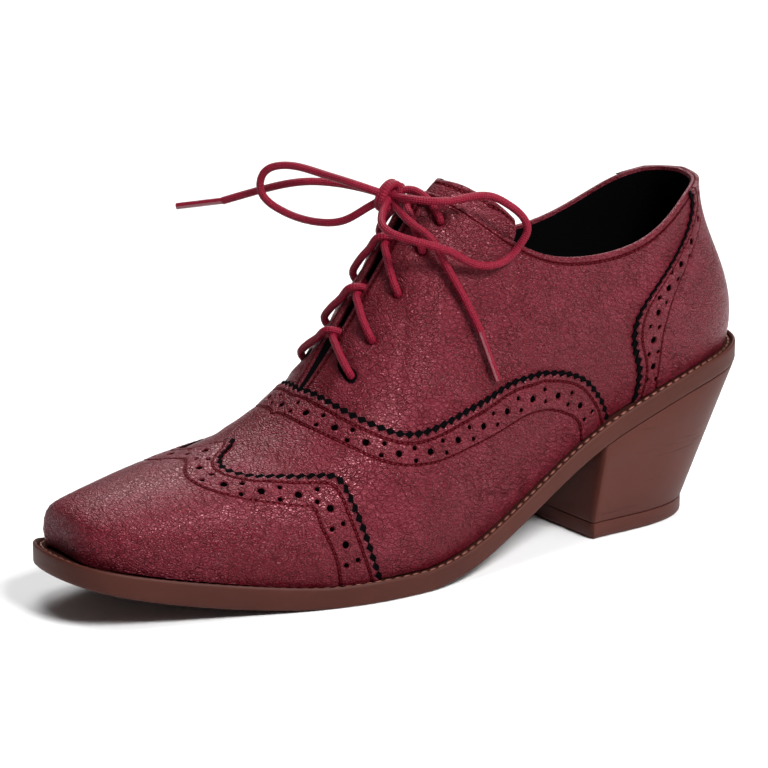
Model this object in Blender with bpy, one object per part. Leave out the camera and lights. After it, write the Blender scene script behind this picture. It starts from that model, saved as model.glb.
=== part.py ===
"""Left shoe of a women's pair: wing-tip brogue with a block heel and a tied cord lace.

The shoe is laid out in millimetres in its own measures: station from the back of the sole
towards the toe, side (lateral is negative) and height above the floor. place() turns these
into metres, with the toe towards -X, the lateral side towards -Y and the floor at Z = 0.
"""
from math import pi, radians

import bmesh
import bpy
import numpy as np

# Driving dimensions, millimetres
MM = 0.001
HALF_MM = 0.5
SOLE_LENGTH = 258.0
SOLE_THICKNESS = 6.8
TOE_SPRING = 13.9
TOE_AXIS = 2.1
FLAT_BACK = 148.0
FLAT_FRONT = 180.0
TREAD_POWER = 1.75
SEAT_POWER = 1.45
GAP = 0.3

# Edge of the sole, from above
SOLE_PLAN = (
    # station, lateral, medial
    (7.0, 15.8, 15.4),
    (29.0, 26.4, 28.0),
    (62.0, 29.2, 29.6),
    (98.0, 33.8, 28.0),
    (134.0, 41.6, 34.5),
    (170.0, 43.6, 42.4),
    (206.0, 34.6, 34.2),
    (235.0, 27.0, 24.2),
    (251.0, 19.8, 19.2),
)

# Underside of the sole, from the back to the ball
ARCH = (
    # station, height
    (0.0, 48.9),
    (30.0, 44.4),
    (55.0, 36.8),
    (70.0, 31.2),
    (85.0, 24.2),
    (100.0, 16.4),
    (115.0, 9.2),
    (130.0, 3.4),
    (148.0, 0.0),
    (166.0, 0.0),
)

# Lip of the sole and the strip inside it
LIP_WIDTH = 1.3
TREAD_INSET = 1.5
TREAD_EDGE = 1.2
RECESS = 1.6
WELT_THICKNESS = 0.8
WELT_WIDTH = 4.5
TOE_SETBACK = 2.4
TOE_SETBACK_FROM = 222.0

# Upper: wall and the ribs of the last. "along" runs from the back of the heel (0) to the
# corner of the toe (1) on either side, and every rib climbs from the sole to the top.
WALL = 1.8
UPPER_CLEAR = 0.1
WALL_RIBS = (
    # along, lift, lean, sweep
    (0.000, 26.0, 14.0, 0.0),
    (0.080, 24.0, 13.0, 0.0),
    (0.160, 22.0, 10.0, 0.0),
    (0.260, 22.0, 6.0, 0.0),
    (0.400, 30.0, 3.0, 0.0),
    (0.520, 30.0, 5.0, 0.0),
    (0.650, 20.0, 12.0, 0.0),
    (0.800, 19.0, 9.0, 0.0),
    (0.910, 16.0, 2.0, 8.0),
    (0.960, 13.0, 0.0, 34.0),
    (0.985, 10.5, 0.0, 64.0),
    (1.000, 9.0, 0.0, 90.0),
)
# Rim of the last, from the back of the heel to the tip above the instep
RIM = (
    # along, station, half breadth, height
    (0.000, 19.0, 0.0, 115.0),
    (0.080, 22.5, 12.0, 114.5),
    (0.160, 34.0, 20.0, 114.0),
    (0.250, 57.0, 24.0, 116.0),
    (0.310, 80.0, 20.0, 121.0),
    (0.350, 97.0, 12.5, 126.5),
    (0.385, 110.0, 0.0, 132.0),
)
# Shoulder of each rear rib: its second handle, measured from the rim
SHOULDER = (
    # along, forward, out, drop
    (0.000, 2.8, 0.0, 19.8),
    (0.080, 1.0, -1.0, 20.0),
    (0.160, 0.0, 0.5, 20.0),
    (0.250, 0.0, 3.5, 20.0),
    (0.310, 0.0, 8.0, 20.0),
    (0.350, -0.5, 15.0, 19.0),
    (0.385, -2.0, 24.5, 18.0),
    (0.430, -0.8, 20.5, 4.0),
    (0.480, 0.0, 18.3, 0.0),
)
# Ridge of the instep and the vamp, from the tip of the instep to the toe
RIDGE = (
    # along, station, axis, height, reach
    (0.385, 110.0, 0.0, 132.0, 16.0),
    (0.430, 120.0, 0.0, 122.0, 17.0),
    (0.510, 134.5, 0.0, 104.0, 19.0),
    (0.570, 150.5, 0.0, 81.5, 21.0),
    (0.615, 160.0, 0.0, 68.5, 23.0),
    (0.655, 168.5, 0.0, 58.0, 25.0),
    (0.715, 184.0, 0.0, 47.6, 26.0),
    (0.795, 204.0, 0.3, 40.7, 25.0),
    (0.870, 224.0, 1.0, 37.1, 21.5),
    (0.930, 241.0, 1.7, 33.5, 17.0),
    (0.963, 248.6, 2.0, 31.4, 15.5),
    (0.985, 250.9, 2.1, 27.9, 13.0),
    (1.000, 251.1, 2.1, 19.6, 10.0),
)
TIP = 0.385
SHOULDER_END = 0.480
THROAT = 0.650
FACING_GAP = (3.0, 6.0)
TOPLINE = (
    # along, height
    (0.000, 112.5),
    (0.080, 111.5),
    (0.160, 107.0),
    (0.240, 97.0),
    (0.305, 93.8),
    (0.345, 95.6),
    (0.375, 100.2),
    (0.405, 107.2),
    (0.430, 113.2),
    (0.450, 116.4),
    (0.470, 119.0),
)
CORNER_SOFTNESS = 40.0
CORNER_REACH = 0.25

# Overlays: seam lines up the ribs, and how the pieces stand off the upper
OVERLAY = 1.0
OVERLAY_CLEAR = 0.85
OVERLAY_FOOT = 0.022
OVERLAY_TOE = 0.993
SEAM_GAP = 0.007
WING_LINE = (
    # climb, along
    (0.00, 0.674),
    (0.20, 0.685),
    (0.42, 0.688),
    (0.52, 0.692),
    (0.58, 0.716),
    (0.66, 0.758),
    (0.76, 0.789),
    (0.83, 0.793),
    (0.92, 0.779),
    (1.00, 0.748),
)
VAMP_LINE = (
    # climb, along
    (0.00, 0.290),
    (0.14, 0.306),
    (0.22, 0.326),
    (0.28, 0.364),
    (0.30, 0.400),
    (0.317, 0.462),
    (0.35, 0.512),
    (0.42, 0.568),
    (0.56, 0.618),
    (0.80, 0.648),
    (1.00, 0.657),
)
WING_CLIMBS = (0.088, 0.10, 0.20, 0.31, 0.42, 0.48, 0.54, 0.58, 0.66, 0.76, 0.83, 0.90, 0.95, 1.0)
VAMP_CLIMBS = (0.022, 0.10, 0.17, 0.22, 0.255, 0.28, 0.29, 0.30, 0.308, 0.317, 0.335, 0.35, 0.38,
               0.42, 0.48, 0.54, 0.58, 0.66, 0.76, 0.83, 0.90, 0.95, 1.0)
COUNTER_LINE = (
    # climb, along
    (0.00, 0.248),
    (0.15, 0.238),
    (0.36, 0.250),
    (0.48, 0.238),
    (0.62, 0.182),
    (0.72, 0.140),
    (0.84, 0.132),
    (0.94, 0.156),
)

# Tongue and insole
TONGUE = 2.0
TONGUE_CLEAR = 1.6
TONGUE_EDGE = 0.60
TONGUE_FORWARD = 1.6
TONGUE_DOWN = 8
TONGUE_SMOOTHING = (-0.24, -0.12, 0.0, 0.12, 0.24)
TONGUE_FOOT = 0.700
TONGUE_TIP = 0.430
TONGUE_TOP = (
    # along, height
    (0.366, 108.0),
    (0.378, 113.4),
    (0.392, 117.7),
    (0.410, 120.7),
    (0.430, 122.0),
)
INSOLE = 3.0
INSOLE_INSET = 7.3

# Heel block and its lift
HEEL_INSET = 1.2
HEEL_BREAST = 70.8
HEEL_BREAST_FLOOR = 74.7
HEEL_BACK_FLOOR = 23.3
HEEL_NARROWING = 0.97
HEEL_LIFT = 5.5
HEEL_POINTS = 18
HEEL_RINGS = 4

# Lace
LACE_RADIUS = 1.25
LACE_TIP_RADIUS = 1.35
LACE_TIP_LENGTH = 16.5
LACE_CLEAR = 0.4
LACE_POINT_SPACING = 6.0
BAR_POINT_SPACING = 4.0
EYELET_ROWS = 5
EYELET_FIRST = 0.614
EYELET_PITCH = 0.0385
CROSSING = (
    # climb, share of the pitch
    (0.800, 0.00),
    (0.860, 0.12),
    (0.920, 0.28),
    (0.970, 0.42),
    (1.000, 0.50),
)
TOP_BAR_ALONG = 0.457
KNOT_ALONG = 0.485
KNOT_LIFT = 7.4
KNOT_RADII = (3.9, 4.2, 4.3)
# Routes from the knot: the medial ones hang free, the lateral ones lie over the quarter
MEDIAL_LOOP = (
    # station, side, height
    (143.9, 6.0, 119.0),
    (149.3, 19.0, 121.2),
    (155.8, 30.0, 122.4),
    (159.4, 35.0, 119.6),
    (160.0, 36.0, 113.8),
    (155.6, 31.0, 107.8),
    (148.7, 20.0, 105.1),
    (144.1, 12.0, 106.5),
    (140.2, 6.0, 110.7),
)
MEDIAL_END = (
    # station, side, height
    (138.0, 14.0, 116.2),
    (148.0, 27.5, 116.8),
    (157.6, 40.0, 113.1),
    (165.1, 51.0, 108.6),
)
MEDIAL_TIP_END = (175.9, 66.0, 105.2)
LATERAL_LOOP = (
    # along, climb, height off the leather
    (0.4735, 0.889, 7.9),
    (0.439, 0.800, 6.5),
    (0.410, 0.787, 6.0),
    (0.392, 0.765, 6.0),
    (0.374, 0.762, 5.8),
    (0.365, 0.735, 5.0),
    (0.364, 0.700, 4.2),
    (0.372, 0.657, 3.2),
    (0.390, 0.610, 2.4),
    (0.417, 0.597, 2.4),
    (0.447, 0.622, 3.2),
    (0.470, 0.680, 6.6),
    (0.494, 0.760, 9.2),
    (0.513, 0.897, 12.4),
)
LATERAL_END = (
    # along, climb, height off the leather
    (0.493, 0.864, 4.5),
    (0.486, 0.776, 4.6),
    (0.483, 0.690, 3.4),
    (0.477, 0.612, 2.2),
    (0.471, 0.542, 1.9),
    (0.465, 0.472, 1.9),
)
LATERAL_TIP_END = (0.458, 0.347, 1.9)

# Finishes: base colour, roughness, metallic
OXBLOOD = ("oxblood leather", (0.150, 0.016, 0.028, 1.0), 0.42, 0.0)
LINING = ("black lining", (0.012, 0.011, 0.011, 1.0), 0.85, 0.0)
BROWN = ("brown sole rubber", (0.115, 0.050, 0.036, 1.0), 0.50, 0.0)
STACKED = ("brown stacked heel", (0.120, 0.052, 0.038, 1.0), 0.48, 0.0)
CORD = ("waxed red cord", (0.230, 0.018, 0.045, 1.0), 0.45, 0.0)

# Fineness of the outline and the meshes
OUTLINE_POINTS = 1440
SOLE_POINTS = 88
CROWD = 0.42
TOE_CROWD = 1.9
WELD = 2e-6
TOE_CORNER_TURN = 0.60
RIBS_PER_SIDE = 40
RIB_STEPS = 10
TRIM_STEPS = 160
TONGUE_COLUMNS = 12
TONGUE_ROWS = 14
WING_ROWS = 9
VAMP_ROWS = 6
COUNTER_COLUMNS = 24
COUNTER_ROWS = 7
CORD_FACETS = 2
KNOT_SEGMENTS = 12
KNOT_RINGS = 8
SHARP_ANGLE = 40.0
LATERAL = -1
MEDIAL = 1


def spline(rows, column, at):
    """Smooth curve through one column of a table, with the first column as its ruler."""
    table = np.array(rows, float)
    knots = table[:, 0]
    values = table[:, column]
    at = np.asarray(at, float)
    step = np.diff(knots)
    slope = np.diff(values) / step
    system = np.eye(len(knots))
    right = np.zeros(len(knots))
    for i in range(1, len(knots) - 1):
        system[i, i - 1:i + 2] = step[i - 1], 2 * (step[i - 1] + step[i]), step[i]
        right[i] = 6 * (slope[i] - slope[i - 1])
    bend = np.linalg.solve(system, right)
    i = np.clip(np.searchsorted(knots, at) - 1, 0, len(step) - 1)
    late = (at - knots[i]) / step[i]
    soon = 1 - late
    curve = (soon ** 3 - soon) * bend[i] + (late ** 3 - late) * bend[i + 1]
    return soon * values[i] + late * values[i + 1] + curve * step[i] ** 2 / 6


def sprung(station, power):
    """Arch from the back to the ball, flat under the ball, then rising to the toe."""
    arch = spline(ARCH, 1, np.clip(station, 0, FLAT_BACK))
    run = np.clip((station - FLAT_FRONT) / (SOLE_LENGTH - FLAT_FRONT), 0, None)
    return np.where(station < FLAT_BACK, np.maximum(arch, 0), TOE_SPRING * run ** power)


def underside(station):
    """Height of the sole's underside; it stays low under the toes, where the sole is thicker."""
    return sprung(station, TREAD_POWER)


def sole_top(station):
    return sprung(station, SEAT_POWER) + SOLE_THICKNESS


def sole_outline():
    """Dense closed outline of the sole from above: station and side, from the back by the lateral side."""
    plan = np.array(SOLE_PLAN)
    lateral = np.stack([plan[:, 0], -plan[:, 1]], 1)
    medial = np.stack([plan[::-1, 0], plan[::-1, 2]], 1)
    corners = np.vstack([[[0, 0]], lateral, [[SOLE_LENGTH, TOE_AXIS]], medial])
    around = np.vstack([corners[-4:], corners, corners[:4]])
    chord = np.concatenate([[0], np.cumsum(np.hypot(*np.diff(around, axis=0).T))])
    start, stop = chord[4], chord[4 + len(corners)]
    at = np.linspace(start, stop, OUTLINE_POINTS, endpoint=False)
    rows = np.column_stack([chord, around])
    return np.stack([spline(rows, 1, at), spline(rows, 2, at)], 1)


def outward(loop):
    """Unit normals of a closed plan loop that runs back, lateral, toe, medial."""
    tangent = np.roll(loop, -1, 0) - np.roll(loop, 1, 0)
    normal = np.stack([tangent[:, 1], -tangent[:, 0]], 1)
    return normal / np.linalg.norm(normal, axis=1)[:, None]


def toe_setback(station):
    """How much further in the upper stands at the toe, where the welt is broader."""
    share = np.clip((station - TOE_SETBACK_FROM) / (SOLE_LENGTH - TOE_SETBACK_FROM), 0, 1)
    return TOE_SETBACK * share * share * (3 - 2 * share)


OUTLINE = sole_outline()
NORMAL = outward(OUTLINE)
CENTRE_STATION = SOLE_LENGTH / 2
CENTRE_SIDE = (OUTLINE[:, 1].min() + OUTLINE[:, 1].max()) / 2


def half_outline(side):
    """Points and normals of one half of the outline, from the back to the corner of the toe."""
    order = np.arange(OUTLINE_POINTS) if side == LATERAL else -np.arange(OUTLINE_POINTS)
    points = OUTLINE[order]
    normals = NORMAL[order]
    corner = np.argmax((normals[:, 0] > TOE_CORNER_TURN) & (points[:, 0] > CENTRE_STATION))
    points, normals = points[:corner + 1], normals[:corner + 1]
    points = points - (WELT_WIDTH + toe_setback(points[:, :1])) * normals
    run = np.concatenate([[0], np.cumsum(np.hypot(*np.diff(points, axis=0).T))])
    return run / run[-1], points, normals


HALVES = {side: half_outline(side) for side in (LATERAL, MEDIAL)}


def rib(side, along):
    """Four control points of the ribs of the last at the given places along one side."""
    run, points, normals = HALVES[side]
    station, breadth = (np.interp(along, run, points[:, k]) for k in (0, 1))
    out_station, out_side = (np.interp(along, run, normals[:, k]) for k in (0, 1))
    zero = np.zeros_like(along)
    out = np.stack([out_station, out_side, zero], -1)
    slope = sole_top(station + HALF_MM) - sole_top(station - HALF_MM)
    ahead = np.stack([side * out_side, -side * out_station, side * out_side * slope], -1)
    up = np.stack([zero, zero, zero + 1], -1)
    foot = np.stack([station, breadth, sole_top(station) + UPPER_CLEAR], -1)
    lift, lean, sweep = (spline(WALL_RIBS, k, along) for k in (1, 2, 3))
    lean, sweep = np.radians(lean), np.radians(sweep)
    rise = up * np.cos(lean)[..., None] + out * np.sin(lean)[..., None]
    rise = rise * np.cos(sweep)[..., None] + ahead * np.sin(sweep)[..., None]
    rear = along < TIP
    back = np.minimum(along, TIP)
    front = np.maximum(along, TIP)
    top = [np.where(rear, spline(RIM, k, back), spline(RIDGE, k, front)) for k in (1, 3)]
    axis = np.where(rear, side * spline(RIM, 2, back), spline(RIDGE, 2, front))
    crown = np.stack([top[0], axis, top[1]], -1)
    bent = along < SHOULDER_END
    forward, out_reach, drop = (spline(SHOULDER, k, np.minimum(along, SHOULDER_END)) for k in (1, 2, 3))
    reach = np.where(bent, out_reach, spline(RIDGE, 4, front))
    shoulder = crown + np.stack([np.where(bent, forward, 0), side * reach, np.where(bent, -drop, 0)], -1)
    return foot, foot + rise * lift[..., None], shoulder, crown


def last(side, along, climb):
    """Point of the last: along one side, and up a rib from the sole (0) to the top (1)."""
    along, climb = np.broadcast_arrays(np.asarray(along, float), np.asarray(climb, float))
    a, b, c, d = rib(side, along)
    t = climb[..., None]
    s = 1 - t
    return a * s ** 3 + 3 * b * s * s * t + 3 * c * s * t * t + d * t ** 3


def facing_gap(along):
    """Width of the throat between the facings, from its foot to the top."""
    return np.interp(along, (TIP, THROAT), FACING_GAP[::-1])


def top_edge(side, along):
    """How far up each rib the upper reaches: collar, facing or ridge."""
    along = np.atleast_1d(np.asarray(along, float))
    climb = np.linspace(0, 1, TRIM_STEPS)
    points = last(side, along[:, None], climb[None, :])
    collar = np.ones_like(along)
    facing = np.ones_like(along)
    for i, place_along in enumerate(along):
        if place_along < TOPLINE[-1][0]:
            limit = spline(TOPLINE, 1, place_along)
            collar[i] = np.interp(limit, np.maximum.accumulate(points[i, :, 2]), climb)
        if TIP < place_along < THROAT:
            apart = np.abs(points[i, ::-1, 1])
            facing[i] = np.interp(facing_gap(place_along) / 2, np.maximum.accumulate(apart), climb[::-1])
    soft = np.log(np.exp(-CORNER_SOFTNESS * collar) + np.exp(-CORNER_SOFTNESS * facing)) / -CORNER_SOFTNESS
    near = np.abs(collar - facing) < CORNER_REACH
    cut = np.where(near & (along > TIP) & (along < TOPLINE[-1][0]), soft, np.minimum(collar, facing))
    return np.where(along >= THROAT, 1.0, cut)


def skin(side, along, climb, off):
    """Point lifted off the last along its normal (inwards where off is negative)."""
    step = 1e-3
    before = np.where((along >= TIP) & (along - step < TIP), TIP, np.maximum(along - step, 0))
    after = np.minimum(along + step, 1)
    below = np.maximum(climb - step, 0)
    above = np.minimum(climb + step, 1)
    run = last(side, after, climb) - last(side, before, climb)
    rise = last(side, along, above) - last(side, along, below)
    normal = -side * np.cross(run, rise)
    normal /= np.linalg.norm(normal, axis=-1)[..., None]
    return last(side, along, climb) + normal * off


def both_sides(which, along, climb, off=0.0):
    """Points of the last on the lateral side where which is negative, else on the medial side."""
    lateral = skin(LATERAL, along, climb, off)
    medial = skin(MEDIAL, along, climb, off)
    return np.where((which < 0)[:, None], lateral, medial)


def both_tops(which, along):
    return np.where(which < 0, top_edge(LATERAL, along), top_edge(MEDIAL, along))


def place(points):
    """Shoe measures in millimetres to metres in the part's frame."""
    station, side, height = np.moveaxis(np.asarray(points, float), -1, 0)
    return np.stack([CENTRE_STATION - station, side - CENTRE_SIDE, height], -1) * MM


def material(finish):
    name, colour, roughness, metallic = finish
    found = bpy.data.materials.get(name)
    if found:
        return found
    made = bpy.data.materials.new(name)
    made.use_nodes = True
    shader = made.node_tree.nodes["Principled BSDF"]
    shader.inputs["Base Color"].default_value = colour
    shader.inputs["Roughness"].default_value = roughness
    shader.inputs["Metallic"].default_value = metallic
    return made


def add_mesh(name, bm, finish):
    mesh = bpy.data.meshes.new(name)
    bm.to_mesh(mesh)
    bm.free()
    mesh.materials.append(material(finish))
    mesh.shade_smooth()
    mesh.set_sharp_from_angle(angle=radians(SHARP_ANGLE))
    piece = bpy.data.objects.new(name, mesh)
    bpy.context.scene.collection.objects.link(piece)
    return piece


def sheet(name, columns, rows, shape, thickness, finish):
    """Grid bent by a function of two fractions from -1 to 1, with a wall on its inside or outside."""
    bm = bmesh.new()
    bmesh.ops.create_grid(bm, x_segments=columns, y_segments=rows, size=1.0)
    flat = np.array([vertex.co for vertex in bm.verts])
    for vertex, point in zip(bm.verts, place(shape(flat[:, 0], flat[:, 1]))):
        vertex.co = point
    bmesh.ops.remove_doubles(bm, verts=bm.verts, dist=WELD)
    bm.normal_update()
    widest = max(bm.faces, key=lambda face: face.calc_center_median().y)
    if widest.normal.y < 0:
        bmesh.ops.reverse_faces(bm, faces=bm.faces)
    piece = add_mesh(name, bm, finish)
    wall = piece.modifiers.new("wall", "SOLIDIFY")
    wall.thickness = abs(thickness) * MM
    wall.offset = np.sign(thickness)
    wall.use_even_offset = True
    return piece


def crowd(fraction):
    """Spacing of the ribs: close at heel and toe, wide between."""
    return fraction - CROWD * np.sin(2 * pi * fraction) / (2 * pi)


def upper_shape(x, y):
    along = crowd(np.abs(x))
    return both_sides(x, along, (y + 1) / 2 * both_tops(x, along))


def seam(line, climb):
    table = np.array(line)
    return np.interp(climb, table[:, 0], table[:, 1])


def up_from_foot(x, climbs):
    """Climb of each column of an overlay that runs from foot to foot over the ridge."""
    return np.interp(1 - np.abs(x), np.linspace(0, 1, len(climbs)), climbs)


def wing_shape(x, y):
    climb = up_from_foot(x, WING_CLIMBS)
    start = seam(WING_LINE, climb)
    share = 1 - (1 - (y + 1) / 2) ** TOE_CROWD
    return both_sides(x, start + (OVERLAY_TOE - start) * share, climb, OVERLAY_CLEAR)


def vamp_shape(x, y):
    climb = up_from_foot(x, VAMP_CLIMBS)
    start = seam(VAMP_LINE, climb)
    stop = seam(WING_LINE, climb) - SEAM_GAP
    return both_sides(x, start + (stop - start) * (y + 1) / 2, climb, OVERLAY_CLEAR)


def counter_shape(x, y):
    share = (y + 1) / 2
    along = np.abs(x) * seam(COUNTER_LINE, share * COUNTER_LINE[-1][0])
    climb = OVERLAY_FOOT + share * (both_tops(x, along) - 2 * OVERLAY_FOOT)
    return both_sides(x, along, climb, OVERLAY_CLEAR)


def tongue_top(side, along):
    """How far up each rib the tongue reaches."""
    climb = np.linspace(0, 1, TRIM_STEPS)
    heights = last(side, along[:, None], climb[None, :])[..., 2]
    limits = spline(TONGUE_TOP, 1, np.minimum(along, TONGUE_TIP))
    cut = [np.interp(limit, np.maximum.accumulate(row), climb) for limit, row in zip(limits, heights)]
    return np.where(along >= TONGUE_TIP, 1.0, cut)


def tongue_shape(x, y):
    """Arch from edge to edge, with the last's crease at the front of the collar smoothed out."""
    return sum(tongue_on_last(np.clip(x + shift, -1, 1), y) for shift in TONGUE_SMOOTHING) / len(TONGUE_SMOOTHING)


def tongue_on_last(x, y):
    """Arch under the last's skin; its top edge falls from the ridge to the sides."""
    share = (y + 1) / 2
    top_along = TONGUE_TIP - np.abs(x) * (TONGUE_TIP - TONGUE_TOP[0][0])
    top = np.where(x < 0, tongue_top(LATERAL, top_along), tongue_top(MEDIAL, top_along))
    edge = 1 - np.abs(x) * (1 - TONGUE_EDGE)
    along = top_along + (TONGUE_FOOT - top_along) * share ** TONGUE_FORWARD
    return both_sides(x, along, edge + (top - edge) * (1 - share) ** TONGUE_DOWN, -WALL - TONGUE_CLEAR)


def ring_at(inset, height, count=SOLE_POINTS, setback=0):
    """Closed ring round the sole, set in from its edge, at a height worked out from the station."""
    loop = OUTLINE - (inset + setback * toe_setback(OUTLINE[:, :1])) * NORMAL
    pick = np.linspace(0, OUTLINE_POINTS, count, endpoint=False).astype(int)
    return np.column_stack([loop[pick], height(loop[pick, 0])])


def cap(bm, ring):
    """Closes a ring with strips across it, from its back to its front."""
    count = len(ring)
    half = (count - 1) // 2
    bm.faces.new((ring[0], ring[1], ring[-1]))
    for i in range(1, half):
        bm.faces.new((ring[i], ring[i + 1], ring[count - i - 1], ring[count - i]))
    if count % 2 == 0:
        bm.faces.new((ring[half], ring[half + 1], ring[half + 2]))


def ring_solid(name, rings, finish, hollow=False):
    """Solid through a row of rings, closed by caps, or joined end to end as a hoop."""
    bm = bmesh.new()
    loops = [[bm.verts.new(point) for point in place(ring)] for ring in rings]
    count = len(loops[0])
    pairs = list(zip(loops, loops[1:]))
    if hollow:
        pairs.append((loops[-1], loops[0]))
    else:
        cap(bm, loops[0])
        cap(bm, loops[-1])
    for low, high in pairs:
        for i in range(count):
            j = (i + 1) % count
            bm.faces.new((low[i], low[j], high[j], high[i]))
    bmesh.ops.recalc_face_normals(bm, faces=bm.faces)
    return add_mesh(name, bm, finish)


def make_outsole():
    def floor(station):
        return sole_top(station) - RECESS

    def edge(station):
        return underside(station) + TREAD_EDGE

    rings = [ring_at(TREAD_INSET, underside), ring_at(0, edge), ring_at(0, sole_top),
             ring_at(LIP_WIDTH, sole_top), ring_at(LIP_WIDTH, floor)]
    ring_solid("outsole", rings, BROWN)


def make_welt():
    def low(station):
        return sole_top(station) - RECESS + GAP

    def high(station):
        return low(station) + WELT_THICKNESS

    outer = LIP_WIDTH + GAP
    inner = WELT_WIDTH + WALL + GAP
    rings = [ring_at(outer, low), ring_at(outer, high)]
    rings += [ring_at(inner, height, setback=1) for height in (high, low)]
    ring_solid("welt", rings, BROWN, hollow=True)


def make_insole():
    def low(station):
        return sole_top(station) - RECESS + GAP

    def high(station):
        return low(station) + INSOLE

    ring_solid("insole", [ring_at(INSOLE_INSET, height, setback=1) for height in (low, high)], LINING)


def heel_plan():
    """Plan of the heel at the sole: back, lateral breast corner, medial breast corner."""
    halves = []
    for order in (np.arange(OUTLINE_POINTS), -np.arange(OUTLINE_POINTS)):
        points = (OUTLINE - HEEL_INSET * NORMAL)[order]
        corner = np.argmax(points[:, 0] > HEEL_BREAST)
        pick = np.linspace(0, corner, HEEL_POINTS + 1).round().astype(int)
        halves.append(points[pick])
    return np.vstack([halves[0], halves[1][:0:-1]])


def make_heel():
    top = heel_plan()
    back = top[:, 0].min()
    share = (top[:, 0] - back) / (HEEL_BREAST - back)
    floor = np.stack([HEEL_BACK_FLOOR + share * (HEEL_BREAST_FLOOR - HEEL_BACK_FLOOR),
                      top[:, 1] * HEEL_NARROWING], 1)

    def ring(drop, low):
        plan = top + (floor - top) * drop
        seat = underside(top[:, 0]) - GAP
        return np.column_stack([plan, seat + (low - seat) * drop])

    heel_foot = HEEL_LIFT + GAP
    ring_solid("heel", [ring(drop, heel_foot) for drop in np.linspace(0, 1, HEEL_RINGS)], STACKED)
    flat = np.ones(len(floor))
    ring_solid("heel_lift", [np.column_stack([floor, flat * level]) for level in (0, HEEL_LIFT)], STACKED)


def smooth_path(points, spacing=LACE_POINT_SPACING):
    """Evenly spaced points on a smooth curve through a route."""
    points = np.asarray(points, float)
    chord = np.concatenate([[0], np.cumsum(np.linalg.norm(np.diff(points, axis=0), axis=1))])
    rows = np.column_stack([chord, points])
    at = np.linspace(0, chord[-1], max(3, int(round(chord[-1] / spacing)) + 1))
    return np.stack([spline(rows, k, at) for k in (1, 2, 3)], 1)


def tube(name, path, radius, finish):
    """Round cord along a path, with closed ends."""
    curve = bpy.data.curves.new(name, "CURVE")
    curve.dimensions = "3D"
    curve.bevel_depth = radius * MM
    curve.bevel_resolution = CORD_FACETS
    curve.use_fill_caps = True
    line = curve.splines.new("POLY")
    line.points.add(len(path) - 1)
    for point, spot in zip(line.points, place(path)):
        point.co = (*spot, 1.0)
    curve.materials.append(material(finish))
    piece = bpy.data.objects.new(name, curve)
    bpy.context.scene.collection.objects.link(piece)
    return piece


def off_leather(side, rows):
    """Points of a route that is given along the last, up it and off the leather."""
    return np.array([skin(side, np.array(along), np.array(climb), off) for along, climb, off in rows])


def lace_strand(side, row):
    """Path of the lace from an eyelet across the throat to the edge of the other facing."""
    eyelet = EYELET_FIRST - row * EYELET_PITCH
    off = LACE_RADIUS + LACE_CLEAR
    near = [(eyelet - share * EYELET_PITCH, climb, off) for climb, share in CROSSING]
    far = [(eyelet - (1 - share) * EYELET_PITCH, climb, off) for climb, share in CROSSING[-2:-3:-1]]
    return np.vstack([off_leather(side, near), off_leather(-side, far)])


def as_mesh(piece):
    """Mesh object in place of a curve object."""
    graph = bpy.context.evaluated_depsgraph_get()
    mesh = bpy.data.meshes.new_from_object(piece.evaluated_get(graph))
    name = piece.name
    bpy.data.objects.remove(piece)
    made = bpy.data.objects.new(name, mesh)
    made.name = name
    bpy.context.scene.collection.objects.link(made)
    return made


def make_crossings():
    for row in range(EYELET_ROWS - 1):
        paths = [smooth_path(lace_strand(side, row), BAR_POINT_SPACING) for side in (LATERAL, MEDIAL)]
        over = as_mesh(tube(f"lace_crossing_{row + 1}", paths[0], LACE_RADIUS, CORD))
        under = as_mesh(tube(f"lace_under_{row + 1}", paths[1], LACE_RADIUS, CORD))
        under.hide_render = True
        under.display_type = "WIRE"
        joined = over.modifiers.new("joined", "BOOLEAN")
        joined.operation = "UNION"
        joined.object = under
    eyelet = EYELET_FIRST - (EYELET_ROWS - 1) * EYELET_PITCH
    off = LACE_RADIUS + LACE_CLEAR
    rows = [(eyelet + 2 * share * (TOP_BAR_ALONG - eyelet), climb, off) for climb, share in CROSSING]
    path = np.vstack([off_leather(LATERAL, rows), off_leather(MEDIAL, rows[-2::-1])])
    tube("lace_bar_top", smooth_path(path, BAR_POINT_SPACING), LACE_RADIUS, CORD)


def knot_centre():
    return skin(LATERAL, np.array(KNOT_ALONG), np.array(1.0), KNOT_LIFT)


def from_knot(towards):
    """Where a cord leaves the knot on its way to a point."""
    centre = knot_centre()
    way = np.asarray(towards, float) - centre
    way /= np.linalg.norm(way)
    return centre + way * (1 / np.linalg.norm(way / np.array(KNOT_RADII)) + GAP)


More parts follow.
